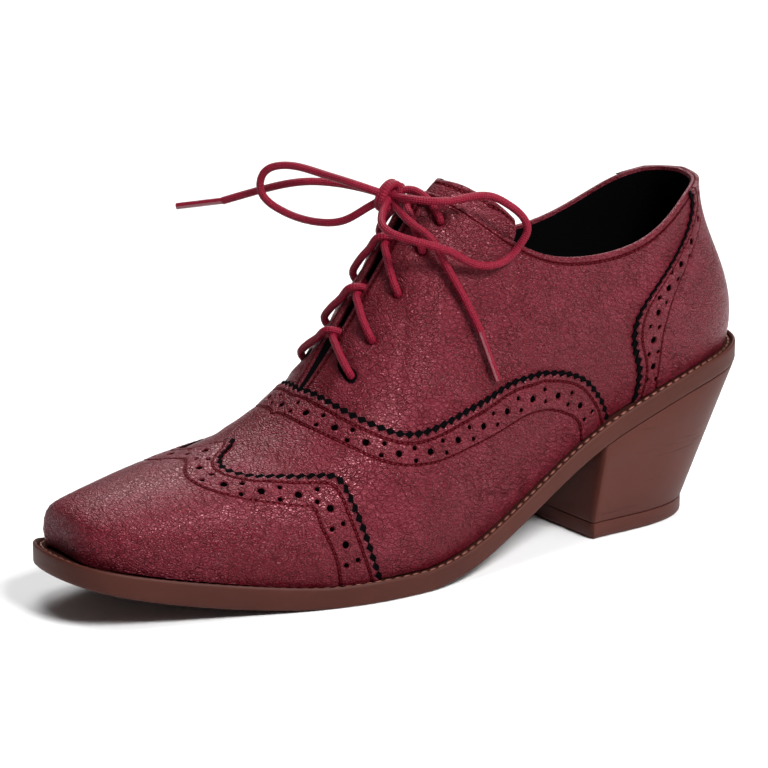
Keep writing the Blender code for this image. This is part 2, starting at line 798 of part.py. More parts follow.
def make_bow():
    bm = bmesh.new()
    bmesh.ops.create_uvsphere(bm, u_segments=KNOT_SEGMENTS, v_segments=KNOT_RINGS, radius=1.0)
    centre = knot_centre()
    points = place(np.array([vertex.co for vertex in bm.verts]) * KNOT_RADII + centre)
    for vertex, point in zip(bm.verts, points):
        vertex.co = point
    bmesh.ops.reverse_faces(bm, faces=bm.faces)
    add_mesh("lace_knot", bm, CORD)
    lateral_loop = off_leather(LATERAL, LATERAL_LOOP)
    for name, route in (("lace_loop_medial", MEDIAL_LOOP), ("lace_loop_lateral", lateral_loop)):
        path = np.vstack([[from_knot(route[0])], route, [from_knot(route[-1])]])
        tube(name, smooth_path(path), LACE_RADIUS, CORD)
    lateral_end = off_leather(LATERAL, LATERAL_END)
    lateral_aim = off_leather(LATERAL, [LATERAL_TIP_END])[0]
    ends = (("medial", np.array(MEDIAL_END), np.array(MEDIAL_TIP_END)), ("lateral", lateral_end, lateral_aim))
    for side, route, aim in ends:
        path = np.vstack([[from_knot(route[0])], route])
        tube(f"lace_end_{side}", smooth_path(path), LACE_RADIUS, CORD)
        way = aim - route[-1]
        way /= np.linalg.norm(way)
        tip = route[-1] + way * GAP
        stretch = np.linspace(0, LACE_TIP_LENGTH, 4)[:, None]
        tube(f"lace_tip_{side}", tip + way * stretch, LACE_TIP_RADIUS, CORD)


def main():
    for piece in list(bpy.data.objects):
        bpy.data.objects.remove(piece)
    make_outsole()
    make_welt()
    make_insole()
    make_heel()
    sheet("upper", 2 * RIBS_PER_SIDE, RIB_STEPS, upper_shape, -WALL, OXBLOOD)
    sheet("tongue", TONGUE_COLUMNS, TONGUE_ROWS, tongue_shape, -TONGUE, OXBLOOD)
    sheet("wing_cap", 2 * (len(WING_CLIMBS) - 1), WING_ROWS, wing_shape, OVERLAY, OXBLOOD)
    sheet("vamp", 2 * (len(VAMP_CLIMBS) - 1), VAMP_ROWS, vamp_shape, OVERLAY, OXBLOOD)
    sheet("heel_counter", COUNTER_COLUMNS, COUNTER_ROWS, counter_shape, OVERLAY, OXBLOOD)
    make_crossings()
    make_bow()


main()
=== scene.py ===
"""Left wing-tip shoe with a block heel: leather panels, stitching, sole and tied lace.

Lengths in the tables are millimetres in the shoe's own measures: station from the back of the
sole towards the toe, side (lateral is negative) and height. On the upper, "along" runs from the
back of the heel (0) to the corner of the toe (1), and "climb" from the sole (0) to the top (1).
"""
from math import pi, radians

import bmesh
import bpy
import numpy as np
from bpy.props import FloatProperty, FloatVectorProperty, PointerProperty
from mathutils import Matrix, Vector


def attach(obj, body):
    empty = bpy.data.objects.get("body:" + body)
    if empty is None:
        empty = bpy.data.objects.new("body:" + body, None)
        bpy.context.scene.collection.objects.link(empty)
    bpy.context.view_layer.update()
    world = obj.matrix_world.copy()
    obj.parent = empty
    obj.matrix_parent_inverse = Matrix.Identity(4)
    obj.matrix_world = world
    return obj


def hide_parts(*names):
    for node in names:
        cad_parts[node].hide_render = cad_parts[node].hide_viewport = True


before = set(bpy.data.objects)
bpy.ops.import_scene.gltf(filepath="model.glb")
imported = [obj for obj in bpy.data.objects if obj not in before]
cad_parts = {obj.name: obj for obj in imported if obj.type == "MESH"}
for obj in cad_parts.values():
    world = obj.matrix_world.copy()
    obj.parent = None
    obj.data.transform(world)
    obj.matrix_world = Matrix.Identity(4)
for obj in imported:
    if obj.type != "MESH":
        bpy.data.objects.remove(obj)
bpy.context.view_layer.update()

bl_info = {
    "name": "Wing-tip shoe",
    "version": (1, 0, 0),
    "blender": (4, 5, 0),
    "location": "3D View > Sidebar > Shoe",
    "description": "Dresses the shoe's solids in leather panels, stitching, lace and finishes",
    "category": "Object",
}

MM = 0.001
LATERAL = -1
MEDIAL = 1
WELD = 2e-6
SHARP_ANGLE = radians(38)

# Sole
SOLE_LENGTH = 258.0
SOLE_THICKNESS = 6.8
TOE_SPRING = 13.9
TOE_AXIS = 2.1
FLAT_BACK = 148.0
FLAT_FRONT = 180.0
TREAD_POWER = 1.75
SEAT_POWER = 1.45
SOLE_PLAN = (
    # station, lateral, medial
    (7.0, 15.8, 15.4),
    (29.0, 26.4, 28.0),
    (62.0, 29.2, 29.6),
    (98.0, 33.8, 28.0),
    (134.0, 41.6, 34.5),
    (170.0, 43.6, 42.4),
    (206.0, 34.6, 34.2),
    (235.0, 27.0, 24.2),
    (251.0, 19.8, 19.2),
)
ARCH = (
    # station, height
    (0.0, 48.9),
    (30.0, 44.4),
    (55.0, 36.8),
    (70.0, 31.2),
    (85.0, 24.2),
    (100.0, 16.4),
    (115.0, 9.2),
    (130.0, 3.4),
    (148.0, 0.0),
    (166.0, 0.0),
)
TREAD_EDGE = 1.0
SEAT_EDGE = 4.4
OUTLINE_POINTS = 1440
SOLE_COLUMNS = 480
SOLE_ACROSS = 24
# Edge of the outsole from the tread over the lip into the groove
SOLE_EDGE = (
    # inset, height above the underside
    (1.30, 0.00),
    (0.60, 0.12),
    (0.15, 0.45),
    (0.00, 1.00),
    (0.00, 2.60),
    (0.00, 4.40),
    (0.00, 5.80),
    (0.10, 6.35),
    (0.42, 6.72),
    (0.80, 6.75),
    (1.12, 6.50),
    (1.30, 6.05),
    (1.38, 5.20),
)
# Stitched strip between the lip and the upper
WELT = (
    # inset, height above the underside
    (1.45, 4.90),
    (1.50, 5.55),
    (1.75, 5.85),
    (2.60, 5.95),
    (3.50, 5.98),
    (4.60, 6.05),
    (6.40, 6.05),
    (6.40, 4.95),
)
WELT_WIDTH = 4.5
TOE_SETBACK = 2.4
TOE_SETBACK_FROM = 222.0
WELT_STITCH_INSET = 2.45
WELT_STITCH_HEIGHT = 6.0
INSOLE_INSET = 7.0
INSOLE_TOP = 8.6
INSOLE_BOTTOM = 5.6
INSOLE_CROWN = 0.7

# Heel block and its lift
HEEL_INSET = 0.3
HEEL_BREAST = 70.8
HEEL_BREAST_FLOOR = 74.7
HEEL_BACK_FLOOR = 23.3
HEEL_NARROWING = 0.96
HEEL_SEAT = 0.12
HEEL_LIFT = 5.5
HEEL_CURVE_POINTS = 96
HEEL_BREAST_POINTS = 28
HEEL_CORNER = 3
# Share of the drop, set-in: a fine groove under the sole and over the lift
HEEL_STEPS = (
    (0.000, 0.55),
    (0.006, 0.15),
    (0.016, 0.00),
    (0.25, 0.00),
    (0.50, 0.00),
    (0.75, 0.00),
    (0.984, 0.00),
    (0.994, 0.12),
    (1.000, 0.45),
)
LIFT_STEPS = (
    # height, set-in
    (5.38, 0.45),
    (5.30, 0.12),
    (5.00, 0.00),
    (3.00, 0.00),
    (1.40, 0.00),
    (0.70, 0.15),
    (0.20, 0.60),
    (0.00, 1.30),
)

# Last
WALL = 1.8
UPPER_CLEAR = 0.1
TOE_CORNER_TURN = 0.60
WALL_RIBS = (
    # along, lift, lean, sweep
    (0.000, 26.0, 14.0, 0.0),
    (0.080, 24.0, 13.0, 0.0),
    (0.160, 22.0, 10.0, 0.0),
    (0.260, 22.0, 6.0, 0.0),
    (0.400, 30.0, 3.0, 0.0),
    (0.520, 30.0, 5.0, 0.0),
    (0.650, 20.0, 12.0, 0.0),
    (0.800, 19.0, 9.0, 0.0),
    (0.910, 16.0, 2.0, 8.0),
    (0.960, 13.0, 0.0, 34.0),
    (0.985, 10.5, 0.0, 64.0),
    (1.000, 9.0, 0.0, 90.0),
)
RIM = (
    # along, station, half breadth, height
    (0.000, 19.0, 0.0, 115.0),
    (0.080, 22.5, 12.0, 114.5),
    (0.160, 34.0, 20.0, 114.0),
    (0.250, 57.0, 24.0, 116.0),
    (0.310, 80.0, 20.0, 121.0),
    (0.350, 97.0, 12.5, 126.5),
    (0.385, 110.0, 0.0, 132.0),
)
SHOULDER = (
    # along, forward, out, drop
    (0.000, 2.8, 0.0, 19.8),
    (0.080, 1.0, -1.0, 20.0),
    (0.160, 0.0, 0.5, 20.0),
    (0.250, 0.0, 3.5, 20.0),
    (0.310, 0.0, 8.0, 20.0),
    (0.350, -0.5, 15.0, 19.0),
    (0.385, -2.0, 24.5, 18.0),
    (0.430, -0.8, 20.5, 4.0),
    (0.480, 0.0, 18.3, 0.0),
)
RIDGE = (
    # along, station, axis, height, reach
    (0.385, 110.0, 0.0, 132.0, 16.0),
    (0.430, 120.0, 0.0, 122.0, 17.0),
    (0.510, 134.5, 0.0, 104.0, 19.0),
    (0.570, 150.5, 0.0, 81.5, 21.0),
    (0.615, 160.0, 0.0, 68.5, 23.0),
    (0.655, 168.5, 0.0, 58.0, 25.0),
    (0.715, 184.0, 0.0, 47.6, 26.0),
    (0.795, 204.0, 0.3, 40.7, 25.0),
    (0.870, 224.0, 1.0, 37.1, 21.5),
    (0.930, 241.0, 1.7, 33.5, 17.0),
    (0.963, 248.6, 2.0, 31.4, 15.5),
    (0.985, 250.9, 2.1, 27.9, 13.0),
    (1.000, 251.1, 2.1, 19.6, 10.0),
)
TIP = 0.385
SHOULDER_END = 0.480
THROAT_GAP = (
    # along, width of the throat
    (0.385, 6.0),
    (0.600, 3.6),
    (0.645, 1.6),
    (0.700, 0.5),
)
TOPLINE = (
    # along, height
    (0.000, 112.5),
    (0.080, 111.5),
    (0.160, 107.0),
    (0.240, 97.0),
    (0.305, 93.8),
    (0.345, 95.6),
    (0.375, 100.2),
    (0.405, 107.2),
    (0.430, 113.2),
    (0.450, 116.4),
    (0.470, 119.0),
)
CORNER_SOFTNESS = 40.0
CORNER_REACH = 0.25
TRIM_STEPS = 160

# Panels: pinked edge and inner stitch line, from the sole up each side
WING_SEAM = (
    # edge along, edge climb, inner along, inner climb
    (0.674, 0.000, 0.724, 0.000),
    (0.682, 0.114, 0.727, 0.136),
    (0.686, 0.229, 0.730, 0.217),
    (0.688, 0.343, 0.733, 0.284),
    (0.688, 0.444, 0.734, 0.342),
    (0.690, 0.511, 0.734, 0.423),
    (0.702, 0.554, 0.748, 0.451),
    (0.725, 0.596, 0.770, 0.485),
    (0.750, 0.645, 0.798, 0.538),
    (0.775, 0.697, 0.822, 0.608),
    (0.792, 0.776, 0.837, 0.712),
    (0.792, 0.857, 0.839, 0.820),
    (0.777, 0.926, 0.830, 0.905),
    (0.760, 0.958, 0.820, 0.960),
    (0.748, 1.000, 0.815, 1.000),
)
VAMP_SEAM = (
    (0.290, 0.000, 0.334, 0.000),
    (0.296, 0.070, 0.337, 0.068),
    (0.306, 0.135, 0.345, 0.110),
    (0.320, 0.200, 0.358, 0.145),
    (0.338, 0.246, 0.374, 0.176),
    (0.364, 0.280, 0.394, 0.200),
    (0.394, 0.298, 0.418, 0.216),
    (0.424, 0.308, 0.444, 0.222),
    (0.466, 0.318, 0.482, 0.240),
    (0.508, 0.346, 0.522, 0.272),
    (0.545, 0.384, 0.560, 0.314),
    (0.575, 0.430, 0.594, 0.368),
    (0.598, 0.484, 0.624, 0.437),
    (0.618, 0.560, 0.649, 0.540),
    (0.637, 0.674, 0.670, 0.681),
    (0.649, 0.811, 0.684, 0.832),
    (0.654, 0.928, 0.688, 0.950),
    (0.657, 1.000, 0.693, 1.000),
)
COUNTER_SEAM = (
    # edge along, edge share of the rib, inner along, inner share of the rib
    (0.244, 0.000, 0.210, 0.000),
    (0.239, 0.130, 0.209, 0.130),
    (0.241, 0.240, 0.208, 0.240),
    (0.248, 0.350, 0.206, 0.345),
    (0.251, 0.450, 0.200, 0.430),
    (0.247, 0.540, 0.192, 0.510),
    (0.232, 0.620, 0.176, 0.590),
    (0.206, 0.690, 0.154, 0.665),
    (0.178, 0.750, 0.128, 0.735),
    (0.154, 0.805, 0.106, 0.800),
    (0.138, 0.865, 0.094, 0.862),
    (0.133, 0.930, 0.090, 0.930),
    (0.143, 1.000, 0.096, 1.000),
)
OUTER_STITCH = 2.7
VAMP_UNDER_WING = 0.030
PANEL_TOE = 1.0
COLUMNS_PER_TOOTH = 10
SEAM_SAMPLES = 900
BAND_ROWS = 34
FIELD_ROWS = 22
INNER_ROWS = 9
COUNTER_INNER_ROWS = 57
STITCH_SINK = 0.18
STITCH_SINK_WIDTH = 0.45
HOLE_DEPTH = 0.75
PAIR_APART = 1.95
HOLES_FROM_END = 2.0
NO_HOLE = 9.0
UNDERLAY_TEETH = 0.95
UNDERLAY_PROUD = 1.3
# Share of a stitch that is thread
STITCH_FILL = 0.82
# Distance between the big holes of each panel
WING_BEAT = 11.4
VAMP_BEAT = 10.8
COUNTER_BEAT = 9.0

# Soft troughs (negative) and swells of the leather: middle, run and strength
CREASES = (
    # side, along, climb, half length along, half length up, lean, depth
    (LATERAL, 0.655, 0.330, 0.010, 0.22, 0.030, -0.55),
    (LATERAL, 0.630, 0.270, 0.008, 0.17, 0.030, -0.45),
    (LATERAL, 0.605, 0.200, 0.008, 0.15, 0.025, -0.40),
    (LATERAL, 0.642, 0.300, 0.008, 0.20, 0.030, 0.35),
    (LATERAL, 0.735, 0.720, 0.010, 0.14, 0.020, -0.35),
    (LATERAL, 0.720, 0.780, 0.008, 0.16, 0.020, 0.25),
    (MEDIAL, 0.655, 0.340, 0.010, 0.24, 0.030, -0.60),
    (MEDIAL, 0.628, 0.280, 0.009, 0.18, 0.030, -0.45),
    (MEDIAL, 0.600, 0.230, 0.008, 0.16, 0.025, -0.40),
    (MEDIAL, 0.732, 0.720, 0.010, 0.15, 0.020, -0.35),
    (LATERAL, 0.440, 0.500, 0.030, 0.14, 0.000, -0.60),
    (MEDIAL, 0.440, 0.500, 0.030, 0.14, 0.000, -0.60),
    (LATERAL, 0.520, 0.560, 0.016, 0.12, -0.030, 0.45),
    (LATERAL, 0.340, 0.420, 0.020, 0.16, 0.030, -0.35),
    (MEDIAL, 0.340, 0.420, 0.020, 0.16, 0.030, -0.35),
    (LATERAL, 0.560, 0.640, 0.010, 0.10, -0.030, -0.40),
    (MEDIAL, 0.560, 0.640, 0.010, 0.10, -0.030, -0.40),
)

# Tongue
TONGUE = 2.0
TONGUE_DROP = 4.1
TONGUE_EDGE = 0.60
TONGUE_FOOT = 0.700
TONGUE_TIP = 0.430
TONGUE_FORWARD = 1.6
TONGUE_DOWN = 8
TONGUE_TOP = (
    # along, height
    (0.366, 108.0),
    (0.378, 113.4),
    (0.392, 117.7),
    (0.410, 120.7),
    (0.430, 122.0),
)
TONGUE_COLUMNS = 96
TONGUE_ROWS = 120
TONGUE_IRONING = 40

# Lace
EYELET_ROWS = 5
EYELET_FIRST = 0.614
EYELET_PITCH = 0.0385
EYELET_CLIMB = 0.785
EYELET_RADIUS = 1.7
EYELET_HOLE = 1.1
EYELET_SINK = 0.9
PUCKER = 0.4
# Way of the lace out of an eyelet and over the facing, then under the other facing
LACE_START = (
    # climb, share of the pitch, height off the leather
    (0.960, 0.04, -3.05),
    (0.900, 0.02, -3.05),
    (0.840, 0.00, -3.00),
    (0.793, 0.00, -2.40),
)
LACE_RETURN = (
    # climb from the eyelet, share of the pitch, height off the leather
    (0.060, 0.90, -3.05),
    (0.008, 1.00, -2.40),
)
LACE_RISE = (
    # climb from the eyelet, share of the pitch, height off the leather
    (0.000, 0.00, -1.3),
    (0.003, 0.01, 0.35),
    (0.018, 0.03, 1.50),
    (0.048, 0.08, 1.75),
    (0.095, 0.18, 1.55),
    (0.145, 0.31, 1.45),
)
LACE_OVER = (
    # climb (past 1 on the other side), share of the pitch, height off the leather
    (0.975, 0.44, 2.35),
    (1.000, 0.51, 2.20),
    (1.020, 0.57, 0.90),
    (1.034, 0.61, -1.10),
    (1.052, 0.66, -2.80),
    (1.095, 0.76, -3.05),
)
LACE_UNDER = (
    (0.966, 0.40, 1.05),
    (0.985, 0.46, -0.30),
    (1.000, 0.50, -1.60),
    (1.020, 0.56, -2.70),
    (1.052, 0.66, -3.05),
    (1.095, 0.76, -3.05),
)
TOP_STRAND = (
    # along, climb, height off the leather
    (0.4595, 0.850, 1.60),
    (0.4610, 0.905, 2.00),
    (0.4650, 0.955, 3.60),
)
KNOT_ALONG = 0.485
KNOT_LIFT = 7.4
KNOT_REACH = 1.6
# Turns of the cord round the knot: middle across the foot, half sizes up the throat and off it, slant
KNOT_WRAPS = (
    (-1.3, 4.4, 2.4, 0.5),
    (1.1, 4.2, 2.2, -0.5),
)
MEDIAL_LOOP = (
    # station, side, height
    (143.9, 6.0, 119.0),
    (149.3, 19.0, 121.2),
    (155.8, 30.0, 122.4),
    (159.4, 35.0, 119.6),
    (160.0, 36.0, 113.8),
    (155.6, 31.0, 107.8),
    (148.7, 20.0, 105.1),
    (144.1, 12.0, 106.5),
    (140.2, 6.0, 110.7),
)
MEDIAL_END = (
    # station, side, height
    (138.0, 14.0, 116.2),
    (148.0, 27.5, 116.8),
    (157.6, 40.0, 113.1),
    (165.1, 51.0, 108.6),
)
MEDIAL_TIP_END = (175.9, 66.0, 105.2)
LATERAL_LOOP = (
    # along, climb, height off the leather
    (0.4735, 0.889, 7.9),
    (0.439, 0.800, 6.5),
    (0.410, 0.787, 6.0),
    (0.392, 0.765, 6.0),
    (0.374, 0.762, 5.8),
    (0.365, 0.735, 5.0),
    (0.364, 0.700, 4.2),
    (0.372, 0.657, 3.2),
    (0.390, 0.610, 2.4),
    (0.417, 0.597, 2.4),
    (0.447, 0.622, 3.2),
    (0.470, 0.680, 6.6),
    (0.494, 0.760, 9.2),
    (0.513, 0.897, 12.4),
)
LATERAL_END = (
    # along, climb, height off the leather
    (0.493, 0.864, 4.5),
    (0.486, 0.776, 4.6),
    (0.483, 0.690, 3.4),
    (0.477, 0.612, 2.2),
    (0.471, 0.542, 1.9),
    (0.465, 0.472, 1.9),
)
LATERAL_TIP_END = (0.458, 0.347, 1.9)
LACE_TIP_LENGTH = 16.5
LACE_SPACING = 0.9
LACE_SIDES = 14

# Upper: places of its ribs, and the roll of its top edge
QUARTER_SPANS = (
    # from along, to along, ribs
    (0.00, 0.12, 24),
    (0.12, 0.70, 250),
)
LINING_BACK = 0.60
UPPER_ROWS = 84
LINING_ROWS = 24
TOP_ROLL = (
    # distance below the edge, height off the last
    (1.20, 0.00),
    (0.70, -0.05),
    (0.30, -0.22),
    (0.06, -0.52),
    (0.00, -0.90),
    (0.06, -1.28),
    (0.30, -1.60),
    (1.30, -1.78),
)
COLLAR_STITCH = 2.3
FACING_STITCH_END = 0.645
COLLAR_STITCH_START = 0.135

# Leather grain: cells to a metre, their height, slant and stretch
GRAINS_PER_M = 1000.0
CREASES_PER_M = 430.0
GRAIN_HEIGHT = 0.00024
GRAIN_STIR = 420.0
GRAIN_STRAY = 0.0012
GRAIN_SLANT = (0.0, 0.6, 0.0)
GRAIN_STRETCH = (1.0, 1.0, 1.7)

# Camera, worked out from the outline in the photo
CAMERA_AIM = (-8.01, 0.89, 55.03)
CAMERA_DISTANCE = 996.4
CAMERA_AZIMUTH = radians(-33.38)
CAMERA_ELEVATION = radians(14.63)
CAMERA_LENS = 147.8
CAMERA_SENSOR = 36.0

# Studio, in metres and watts
FLOOR_HALF = 4.0
STUDIO_AIM = (0.0, 0.0, 0.05)
BACKDROP_AIM = (1.0, 1.5, 0.0)
STUDIO_AMBIENT = 0.10
STUDIO_LIGHTS = (
    # name, place, size, power
    ("key", (0.15, -0.92, 1.05), (0.5, 0.4), 27.0),
    ("fill", (0.95, -0.90, 0.60), (0.6, 0.6), 4.0),
    ("top", (-0.20, 0.00, 1.40), (0.6, 0.6), 8.5),
    ("backdrop", (1.10, 1.70, 1.80), (1.6, 1.6), 60.0),
)


def spline(rows, column, at):
    """Smooth curve through one column of a table, with the first column as its ruler."""
    table = np.array(rows, float)
    knots = table[:, 0]
    values = table[:, column]
    at = np.asarray(at, float)
    step = np.diff(knots)
    slope = np.diff(values) / step
    system = np.eye(len(knots))
    right = np.zeros(len(knots))
    for i in range(1, len(knots) - 1):
        system[i, i - 1:i + 2] = step[i - 1], 2 * (step[i - 1] + step[i]), step[i]
        right[i] = 6 * (slope[i] - slope[i - 1])
    bend = np.linalg.solve(system, right)
    i = np.clip(np.searchsorted(knots, at) - 1, 0, len(step) - 1)
    late = (at - knots[i]) / step[i]
    soon = 1 - late
    curve = (soon ** 3 - soon) * bend[i] + (late ** 3 - late) * bend[i + 1]
    return soon * values[i] + late * values[i + 1] + curve * step[i] ** 2 / 6


def length_along(points):
    """Distance from the first point to each point of a path."""
    return np.concatenate([[0], np.cumsum(np.linalg.norm(np.diff(points, axis=0), axis=1))])


def smooth_path(points, spacing):
    """Evenly spaced points on a smooth curve through a route."""
    points = np.asarray(points, float)
    rows = np.column_stack([length_along(points), points])
    fine = np.linspace(0, rows[-1, 0], 40 * len(points))
    curve = np.stack([spline(rows, k, fine) for k in (1, 2, 3)], 1)
    run = length_along(curve)
    at = np.linspace(0, run[-1], max(4, round(run[-1] / spacing) + 1))
    return np.stack([np.interp(at, run, curve[:, k]) for k in range(3)], 1)


def unit(vectors):
    return vectors / np.linalg.norm(vectors, axis=-1)[..., None]


def sprung(station, power):
    """Arch from the back to the ball, flat under the ball, then rising to the toe."""
    arch = spline(ARCH, 1, np.clip(station, 0, FLAT_BACK))
    run = np.clip((station - FLAT_FRONT) / (SOLE_LENGTH - FLAT_FRONT), 0, None)
    return np.where(station < FLAT_BACK, np.maximum(arch, 0), TOE_SPRING * run ** power)


def underside(station):
    """Height of the sole's underside; it stays low under the toes, where the sole is thicker."""
    return sprung(station, TREAD_POWER)


def sole_top(station):
    return sprung(station, SEAT_POWER) + SOLE_THICKNESS


def sole_outline():
    """Dense closed outline of the sole from above, from the back by the lateral side."""
    plan = np.array(SOLE_PLAN)
    lateral = np.stack([plan[:, 0], -plan[:, 1]], 1)
    medial = np.stack([plan[::-1, 0], plan[::-1, 2]], 1)
    corners = np.vstack([[[0, 0]], lateral, [[SOLE_LENGTH, TOE_AXIS]], medial])
    around = np.vstack([corners[-4:], corners, corners[:4]])
    chord = length_along(around)
    at = np.linspace(chord[4], chord[4 + len(corners)], OUTLINE_POINTS, endpoint=False)
    rows = np.column_stack([chord, around])
    return np.stack([spline(rows, 1, at), spline(rows, 2, at)], 1)


def toe_setback(station):
    """How much further in the upper stands at the toe, where the welt is broader."""
    share = np.clip((station - TOE_SETBACK_FROM) / (SOLE_LENGTH - TOE_SETBACK_FROM), 0, 1)
    return TOE_SETBACK * share * share * (3 - 2 * share)


OUTLINE = sole_outline()
OUTLINE_TANGENT = np.roll(OUTLINE, -1, 0) - np.roll(OUTLINE, 1, 0)
OUTLINE_NORMAL = unit(np.stack([OUTLINE_TANGENT[:, 1], -OUTLINE_TANGENT[:, 0]], 1))
CENTRE_STATION = SOLE_LENGTH / 2
CENTRE_SIDE = (OUTLINE[:, 1].min() + OUTLINE[:, 1].max()) / 2


def half_outline(side):
    """Foot of the upper on one side, from the back to the corner of the toe."""
    order = np.arange(OUTLINE_POINTS) * -side
    points = OUTLINE[order]
    normals = OUTLINE_NORMAL[order]
    corner = np.argmax((normals[:, 0] > TOE_CORNER_TURN) & (points[:, 0] > CENTRE_STATION))
    points, normals = points[:corner + 1], normals[:corner + 1]
    points = points - (WELT_WIDTH + toe_setback(points[:, :1])) * normals
    run = length_along(points)
    return run / run[-1], points, normals


HALVES = {side: half_outline(side) for side in (LATERAL, MEDIAL)}


def rib(side, along):
    """Four control points of the ribs of the last at the given places along one side."""
    run, points, normals = HALVES[side]
    station, breadth = (np.interp(along, run, points[:, k]) for k in (0, 1))
    out_station, out_side = (np.interp(along, run, normals[:, k]) for k in (0, 1))
    zero = np.zeros_like(along)
    out = np.stack([out_station, out_side, zero], -1)
    slope = sole_top(station + 0.5) - sole_top(station - 0.5)
    ahead = np.stack([side * out_side, -side * out_station, side * out_side * slope], -1)
    up = np.stack([zero, zero, zero + 1], -1)
    foot = np.stack([station, breadth, sole_top(station) + UPPER_CLEAR], -1)
    lift, lean, sweep = (spline(WALL_RIBS, k, along) for k in (1, 2, 3))
    lean, sweep = np.radians(lean), np.radians(sweep)
    rise = up * np.cos(lean)[..., None] + out * np.sin(lean)[..., None]
    rise = rise * np.cos(sweep)[..., None] + ahead * np.sin(sweep)[..., None]
    rear = along < TIP
    back = np.minimum(along, TIP)
    front = np.maximum(along, TIP)
    top = [np.where(rear, spline(RIM, k, back), spline(RIDGE, k, front)) for k in (1, 3)]
    axis = np.where(rear, side * spline(RIM, 2, back), spline(RIDGE, 2, front))
    crown = np.stack([top[0], axis, top[1]], -1)
    bent = along < SHOULDER_END
    forward, out_reach, drop = (spline(SHOULDER, k, np.minimum(along, SHOULDER_END)) for k in (1, 2, 3))
    reach = np.where(bent, out_reach, spline(RIDGE, 4, front))
    shoulder = crown + np.stack([np.where(bent, forward, 0), side * reach, np.where(bent, -drop, 0)], -1)
    return foot, foot + rise * lift[..., None], shoulder, crown


def last(side, along, climb):
    """Point of the last: along one side, and up a rib from the sole (0) to the top (1)."""
    along, climb = np.broadcast_arrays(np.asarray(along, float), np.asarray(climb, float))
    a, b, c, d = rib(side, along)
    t = climb[..., None]
    s = 1 - t
    return a * s ** 3 + 3 * b * s * s * t + 3 * c * s * t * t + d * t ** 3


def top_edge(side, along):
    """How far up each rib the upper reaches: collar, facing or ridge."""
    along = np.atleast_1d(np.asarray(along, float))
    climb = np.linspace(0, 1, TRIM_STEPS)
    points = last(side, along[:, None], climb[None, :])
    collar = np.ones_like(along)
    facing = np.ones_like(along)
    gaps = np.interp(along, *np.transpose(THROAT_GAP))
    for i, spot in enumerate(along):
        if spot < TOPLINE[-1][0]:
            limit = spline(TOPLINE, 1, spot)
            collar[i] = np.interp(limit, np.maximum.accumulate(points[i, :, 2]), climb)
        if spot > TIP:
            apart = np.abs(points[i, ::-1, 1])
            facing[i] = np.interp(gaps[i] / 2, np.maximum.accumulate(apart), climb[::-1])
    soft = np.log(np.exp(-CORNER_SOFTNESS * collar) + np.exp(-CORNER_SOFTNESS * facing)) / -CORNER_SOFTNESS
    near = np.abs(collar - facing) < CORNER_REACH
    cut = np.where(near & (along > TIP) & (along < TOPLINE[-1][0]), soft, np.minimum(collar, facing))
    return cut


def skin(side, along, climb, off):
    """Point lifted off the last along its normal (inwards where off is negative)."""
    along, climb, off = np.broadcast_arrays(*(np.asarray(v, float) for v in (along, climb, off)))
    step = 1e-3
    before = np.where((along >= TIP) & (along - step < TIP), TIP, np.maximum(along - step, 0))
    after = np.minimum(along + step, 1)
    run = last(side, after, climb) - last(side, before, climb)
    rise = last(side, along, np.minimum(climb + step, 1)) - last(side, along, np.maximum(climb - step, 0))
    normal = -side * np.cross(run, rise)
    return last(side, along, climb) + unit(normal) * off[..., None]


def both_sides(side, along, climb, off):
    """Points off the last where each place names its own side."""
    side = np.broadcast_to(side, np.shape(along))
    lateral = skin(LATERAL, along, climb, off)
    medial = skin(MEDIAL, along, climb, off)
    return np.where((side == LATERAL)[..., None], lateral, medial)


def off_leather(rows):
    """Points of a route whose rows name side, along, climb and height; a climb past 1 crosses over."""
    spots = []
    for side, along, climb, off in rows:
        over = climb > 1
        spots.append(skin(-side if over else side, along, 2 - climb if over else climb, off))
    return np.array(spots)


def place(points):
    """Shoe measures in millimetres to metres in the part's frame."""
    station, side, height = np.moveaxis(np.asarray(points, float), -1, 0)
    return np.stack([CENTRE_STATION - station, side - CENTRE_SIDE, height], -1) * MM


def relief(side, along, climb):
    """Soft troughs and swells of the leather, puckers by the eyelets and their sunk rims."""
    lift = np.zeros(np.shape(along))
    for where, mid_along, mid_climb, half_along, half_climb, lean, depth in CREASES:
        up = (climb - mid_climb) / half_climb
        across = (along - mid_along - lean * up) / half_along
        lift += np.where(side == where, depth * np.exp(-up ** 2 - across ** 2), 0)
    beat = (along - EYELET_FIRST) / EYELET_PITCH
    rows = (beat < 0.5) & (beat > 0.5 - EYELET_ROWS)
    swell = np.exp(-((climb - EYELET_CLIMB - 0.04) / 0.07) ** 2)
    lift += np.where(rows, -PUCKER * np.cos(2 * pi * beat) * swell, 0)
    return lift - EYELET_SINK * np.exp(-(eyelet_distance(side, along, climb) / EYELET_RADIUS) ** 4)


def eyelet_distance(side, along, climb):
    """Distance in millimetres to the nearest eyelet's middle."""
    nearest = np.full(np.shape(along), NO_HOLE)
    spots = last(LATERAL, along, climb), last(MEDIAL, along, climb)
    points = np.where((np.asarray(side) == LATERAL)[..., None], *spots)
    for which in (LATERAL, MEDIAL):
        for row in range(EYELET_ROWS):
            middle = last(which, EYELET_FIRST - row * EYELET_PITCH, EYELET_CLIMB)
            nearest = np.minimum(nearest, np.linalg.norm(points - middle, axis=-1))
    return nearest


